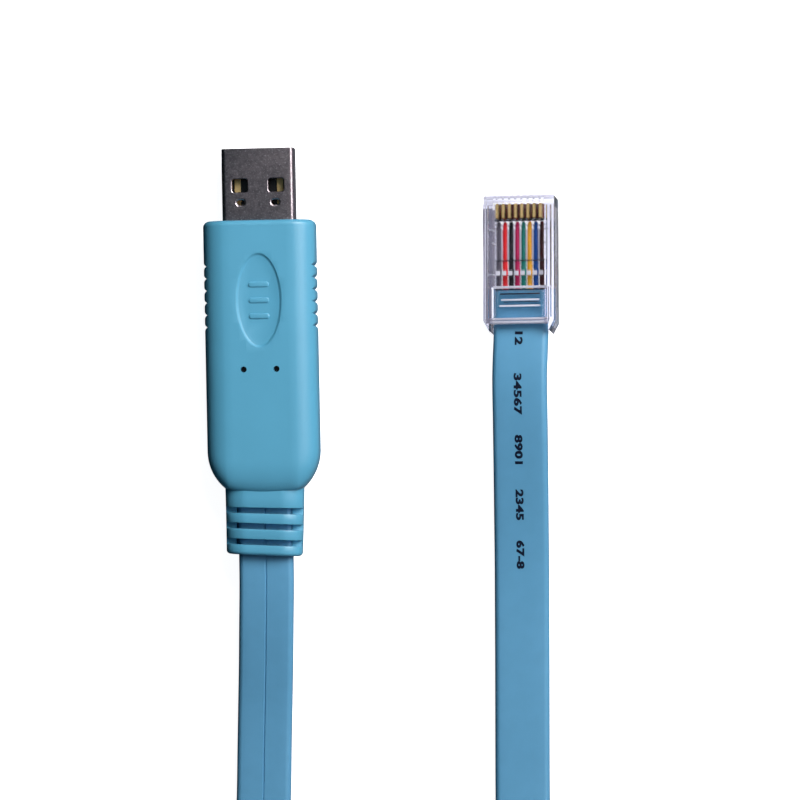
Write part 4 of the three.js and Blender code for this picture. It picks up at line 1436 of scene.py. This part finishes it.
# Round edges of the body and of what is cut into it.
BODY_ROUND = 0.22 * MM
CUT_ROUND = 0.05 * MM
BAR_EDGE = 0.03 * MM
SEAT_WIDTH = 9.6 * MM
SEAT_HEIGHT = 3.2 * MM
SEAT_CORNER = 1.3 * MM
SEAT_OVERLAP = 0.3 * MM
CHAMBER_MARGIN = 0.1 * MM
CHAMBER_FRONT = 1.5 * MM
CHAMBER_LOW = 3.0 * MM
CHAMBER_HIGH = 4.3 * MM
SLOT_HALF = 0.29 * MM
SLOT_FRONT = 1.2 * MM
SLOT_BACK = 3.95 * MM
SLOT_LOW = 3.6 * MM
NOSE_SLOT_HALF = 0.17 * MM
NOSE_SLOT_BACK = 1.1 * MM
NOSE_SLOT_DEPTH = 0.5 * MM
STEP_REACH = 7 * MM
STEP_BACK = 1.6 * MM
STEP_DEPTH = 0.4 * MM
LINE_HALF = 0.14 * MM
LINE_DEPTH = 0.22 * MM
LINE_RISE = 0.01 * MM
LINE_FRONT = 1.7 * MM
LINE_BACK = 20.2 * MM
RIB_HALF = 0.10 * MM
RIB_LOW = 3.25 * MM
RIB_HIGH = 4.0 * MM
PAD_HALF = 0.36 * MM
PAD_FRONT = 12.35 * MM
PAD_BACK = 13.15 * MM
PAD_LOW = 5.2 * MM
PAD_HIGH = 5.34 * MM
LATCH_ROOT = 1.2 * MM
LATCH_END = 17.5 * MM
LATCH_DROP = 2.15 * MM
LATCH_THICKNESS = 1.1 * MM
LATCH_HALF = 3.0 * MM
LATCH_SUNK = 0.5 * MM
WAIST_HALF = 1.95 * MM
WAIST_START = 8.4 * MM
WAIST_REACH = 6 * MM
WIRE_STEPS = 16
WIRE_TIP = 0.6
WIRE_SHOULDER = 0.85
WIRE_TIP_LENGTH = 0.2 * MM
WIRE_OVERLAP = 0.4 * MM
COMB_LEAD = 0.3 * MM
SWELL_START = 0.2 * MM
SWELL_END = 0.15 * MM


class CONSOLE_OT_clear_plug(bpy.types.Operator):
    """Makes the clear plug and the eight wires in it"""

    bl_idname = "console.clear_plug"
    bl_label = "Clear plug"

    def execute(self, context):
        plug = context.scene.console_plug
        turn, origin = plug_place(plug)
        self.make_wires(plug, turn, origin)
        self.make_body(plug, turn, origin)
        return {"FINISHED"}

    def places(self, plug):
        """Places of the wires and contacts across the plug."""
        return [(i - (WIRE_COUNT - 1) / 2) * plug.contact_pitch for i in range(WIRE_COUNT)]

    def make_wires(self, plug, turn, origin):
        narrow, wide = plug.wire_narrow, plug.wire_wide
        stations = (
            (plug.wire_front, narrow * WIRE_TIP),
            (plug.wire_front + WIRE_TIP_LENGTH, narrow * WIRE_SHOULDER),
            (plug.rib_front - COMB_LEAD, narrow),
            (plug.rib_back - SWELL_START, narrow),
            (plug.rib_back + SWELL_END, wide),
            (plug.length - plug.jacket_seat + WIRE_OVERLAP, wide),
        )
        for i, (x, (name, tint)) in enumerate(zip(self.places(plug), WIRES)):
            rings = []
            for back, radius in stations:
                circle = round_outline(radius, radius, WIRE_STEPS, x, plug.wire_level)
                rings.append([in_plug(turn, origin, across, back, up) for across, up in circle])
            piece = make_piece(f"wire_{i + 1}", *loft(rings), insulation_finish(f"{name} insulation", tint))
            smooth(piece, 40)
            dress(piece, "root", f"wire_{name}", f"rj45_wire_{i + 1}")

    def make_body(self, plug, turn, origin):
        half, length = plug.width / 2, plug.length
        right = [(half, 0), (half, -length + REAR_RISE), (half - REAR_INSET, -length)]
        right += [(LIP_HALF, -length), (LIP_HALF, -length + LIP_SETBACK)]
        piece = prism("clear_plug", right + [(-x, y) for x, y in reversed(right)], 0, plug.height)
        soften(piece, BODY_ROUND, segments=3)
        combine(piece, self.hollows(plug))
        combine(piece, [self.latch()], "UNION")
        soften(piece, CUT_ROUND, segments=1, angle=60)
        set_materials(
            piece,
            clear_finish("clear polycarbonate", plug.clear),
            frosted_glow_finish("frosted and glowing polycarbonate", plug.frosted),
            moulded_finish("painted shade polycarbonate", PAINTED_SHADE_BLACK, 0.3),
            moulded_finish("painted gold reflection polycarbonate", REFLECTED_GOLD_SHADE, 0.3),
            shade_sheet_finish("painted shade sheet polycarbonate", plug.left_shade_sheet),
            clear_finish("polished window", plug.window, WINDOW_ALPHA),
        )
        self.part_window(piece)
        # Frosted ribs, pads and bars with a painted glow, among them painted highlights on the crimp bars.
        pressed = self.ribs(plug) + boxes_of(*FROSTED_AND_HIGHLIGHT_BARS) + self.pads(plug) + boxes_of(SIDE_PAD)
        join_boxes(piece, pressed, FROSTED_AND_GLOW)
        # Near-black bars of painted shade, where shadow falls inside the plug.
        join_boxes(piece, boxes_of(*PAINTED_SHADE_BARS), PAINTED_SHADE)
        # A dark brown strip of painted gold reflection in shade under the blades.
        join_boxes(piece, boxes_of(GOLD_REFLECTION_BAR), PAINTED_REFLECTION)
        # A see-through sheet of painted shade along the plug's left side.
        join_boxes(piece, boxes_of(LEFT_SHADE_SHEET), LEFT_SHADE)
        for vertex in piece.data.vertices:
            vertex.co = origin + turn @ vertex.co
        smooth(piece, 25)
        dress(piece, "root", "clear_plastic", "rj45_body")

    def part_window(self, piece):
        """Gives the thin middle of the plug, over the wires and the jacket, its own material."""
        planes = (
            ((WINDOW_HALF, 0, 0), (1, 0, 0)),
            ((-WINDOW_HALF, 0, 0), (1, 0, 0)),
            ((0, -WINDOW_FRONT, 0), (0, 1, 0)),
        )
        with open_mesh(piece) as work:
            for place, normal in planes:
                geometry = work.verts[:] + work.edges[:] + work.faces[:]
                bmesh.ops.bisect_plane(work, geom=geometry, plane_co=place, plane_no=normal)
            for face in work.faces:
                middle = face.calc_center_median()
                if abs(middle.x) < WINDOW_HALF and middle.y < -WINDOW_FRONT:
                    face.material_index = POLISHED

    def ribs(self, plug):
        """The thin walls between the wires."""
        made = []
        for x in self.places(plug)[:-1]:
            middle = x + plug.contact_pitch / 2
            low = (middle - RIB_HALF, -plug.rib_back, RIB_LOW)
            made.append((low, (middle + RIB_HALF, -plug.rib_front, RIB_HIGH)))
        return made

    def pads(self, plug):
        """The row of pads that presses on the wires."""
        made = []
        for x in self.places(plug):
            made.append(((x - PAD_HALF, -PAD_BACK, PAD_LOW), (x + PAD_HALF, -PAD_FRONT, PAD_HIGH)))
        return made

    def hollows(self, plug):
        """What is cut out of the plug: seat, chamber, windows, contact slots, steps and grooves."""
        top, end = plug.height, plug.length - plug.jacket_seat
        past_top = top + PAST
        half = WIRE_COUNT / 2 * plug.contact_pitch + CHAMBER_MARGIN
        seat = rounded(SEAT_WIDTH, SEAT_HEIGHT, SEAT_CORNER, CORNER_STEPS, 0, JACKET_Z)
        chamber = (-half, -end - SEAT_OVERLAP, CHAMBER_LOW), (half, -CHAMBER_FRONT, CHAMBER_HIGH)
        tools = [
            prism("jacket seat", seat, -plug.length - PAST, -end + SEAT_OVERLAP, "y"),
            block("chamber", *chamber),
        ]
        for name, (front, back), wide, depth in TOP_CUTS:
            low = (-wide * MM, -back * MM, top - depth * MM)
            tools.append(block(name, low, (wide * MM, -front * MM, past_top)))
        for x in self.places(plug):
            low = (x - SLOT_HALF, -SLOT_BACK, SLOT_LOW)
            tools.append(block("slot", low, (x + SLOT_HALF, -SLOT_FRONT, past_top)))
            low = (x - NOSE_SLOT_HALF, -NOSE_SLOT_BACK, top - NOSE_SLOT_DEPTH)
            tools.append(block("nose slot", low, (x + NOSE_SLOT_HALF, PAST, past_top)))
        for sign in (-1, 1):
            near, far = sorted((sign * half, sign * STEP_REACH))
            tools.append(block("step", (near, -STEP_BACK, top - STEP_DEPTH), (far, PAST, past_top)))
        for place in SIDE_LINES:
            middle = place * MM
            ends = [(middle + side * LINE_HALF, top + LINE_RISE) for side in (-1, 1)]
            line = [ends[0], (middle, top - LINE_DEPTH), ends[1]]
            tools.append(prism("side line", line, -LINE_BACK, -LINE_FRONT, "y"))
        return tools

    def latch(self):
        """The latch, sloping away from the nose, with a finger part narrower than its root."""
        root, end = LATCH_ROOT, LATCH_END
        slope_end = root + LATCH_THICKNESS * (end - root) / LATCH_DROP
        side = [
            (-root, LATCH_SUNK),
            (-root, 0),
            (-end, -LATCH_DROP),
            (-end, -LATCH_DROP + LATCH_THICKNESS),
            (-slope_end, 0),
            (-slope_end, LATCH_SUNK),
        ]
        rings = [[Vector((x, y, z)) for y, z in side] for x in (-LATCH_HALF, LATCH_HALF)]
        latch = make_piece("latch", *loft(rings))
        tools = []
        for sign in (-1, 1):
            near, far = sorted((sign * WAIST_HALF, sign * WAIST_REACH))
            tools.append(block("waist", (near, -end - PAST, -LATCH_DROP - PAST), (far, -WAIST_START, 0.0)))
        combine(latch, tools)
        return latch


def boxes_of(*bars):
    """Two corners of each bar that is given from the nose, across and up in millimetres."""
    made = []
    for (front, back), (left, right), (low, high) in bars:
        made.append(((left * MM, -back * MM, low * MM), (right * MM, -front * MM, high * MM)))
    return made


def join_boxes(piece, boxes, index):
    """Adds boxes with softened edges to a piece, as faces of one of its materials."""
    points, faces = [], []
    for low, high in boxes:
        base = len(points)
        corners = rectangle(low, high)
        box_points, box_faces = loft([ring_at(corners, low[2]), ring_at(corners, high[2])])
        points += box_points
        faces += [tuple(base + corner for corner in face) for face in box_faces]
    extra = make_piece("extra", points, faces)
    soften(extra, BAR_EDGE)
    with open_mesh(piece) as work:
        before = len(work.faces)
        work.from_mesh(extra.data)
        work.faces.ensure_lookup_table()
        for face in work.faces[before:]:
            face.material_index = index
    bpy.data.objects.remove(extra)


class CONSOLE_PT_panel(bpy.types.Panel):
    """Lists the steps that make the cable"""

    bl_idname = "CONSOLE_PT_panel"
    bl_label = "Console Cable"
    bl_space_type = "VIEW_3D"
    bl_region_type = "UI"
    bl_category = "Console Cable"

    def draw(self, context):
        for step in STEPS:
            self.layout.operator(step.bl_idname)


STEPS = (
    CONSOLE_OT_stage,
    CONSOLE_OT_clear_plug,
    CONSOLE_OT_straps,
    CONSOLE_OT_cable,
    CONSOLE_OT_housing,
    CONSOLE_OT_usb_metal,
)
SETTINGS = {
    "console_cable": CableSettings,
    "console_housing": HousingSettings,
    "console_shell": ShellSettings,
    "console_plug": PlugSettings,
    "console_stage": StageSettings,
}


def register():
    for cls in (*SETTINGS.values(), *STEPS, CONSOLE_PT_panel):
        bpy.utils.register_class(cls)
    for name, group in SETTINGS.items():
        setattr(bpy.types.Scene, name, PointerProperty(type=group))


def unregister():
    for name in SETTINGS:
        delattr(bpy.types.Scene, name)
    for cls in reversed((*SETTINGS.values(), *STEPS, CONSOLE_PT_panel)):
        bpy.utils.unregister_class(cls)


def main():
    register()
    bpy.ops.console.stage()
    bpy.ops.console.clear_plug()
    bpy.ops.console.straps()
    bpy.ops.console.cable()
    bpy.ops.console.housing()
    bpy.ops.console.usb_metal()


if __name__ == "__main__":
    main()
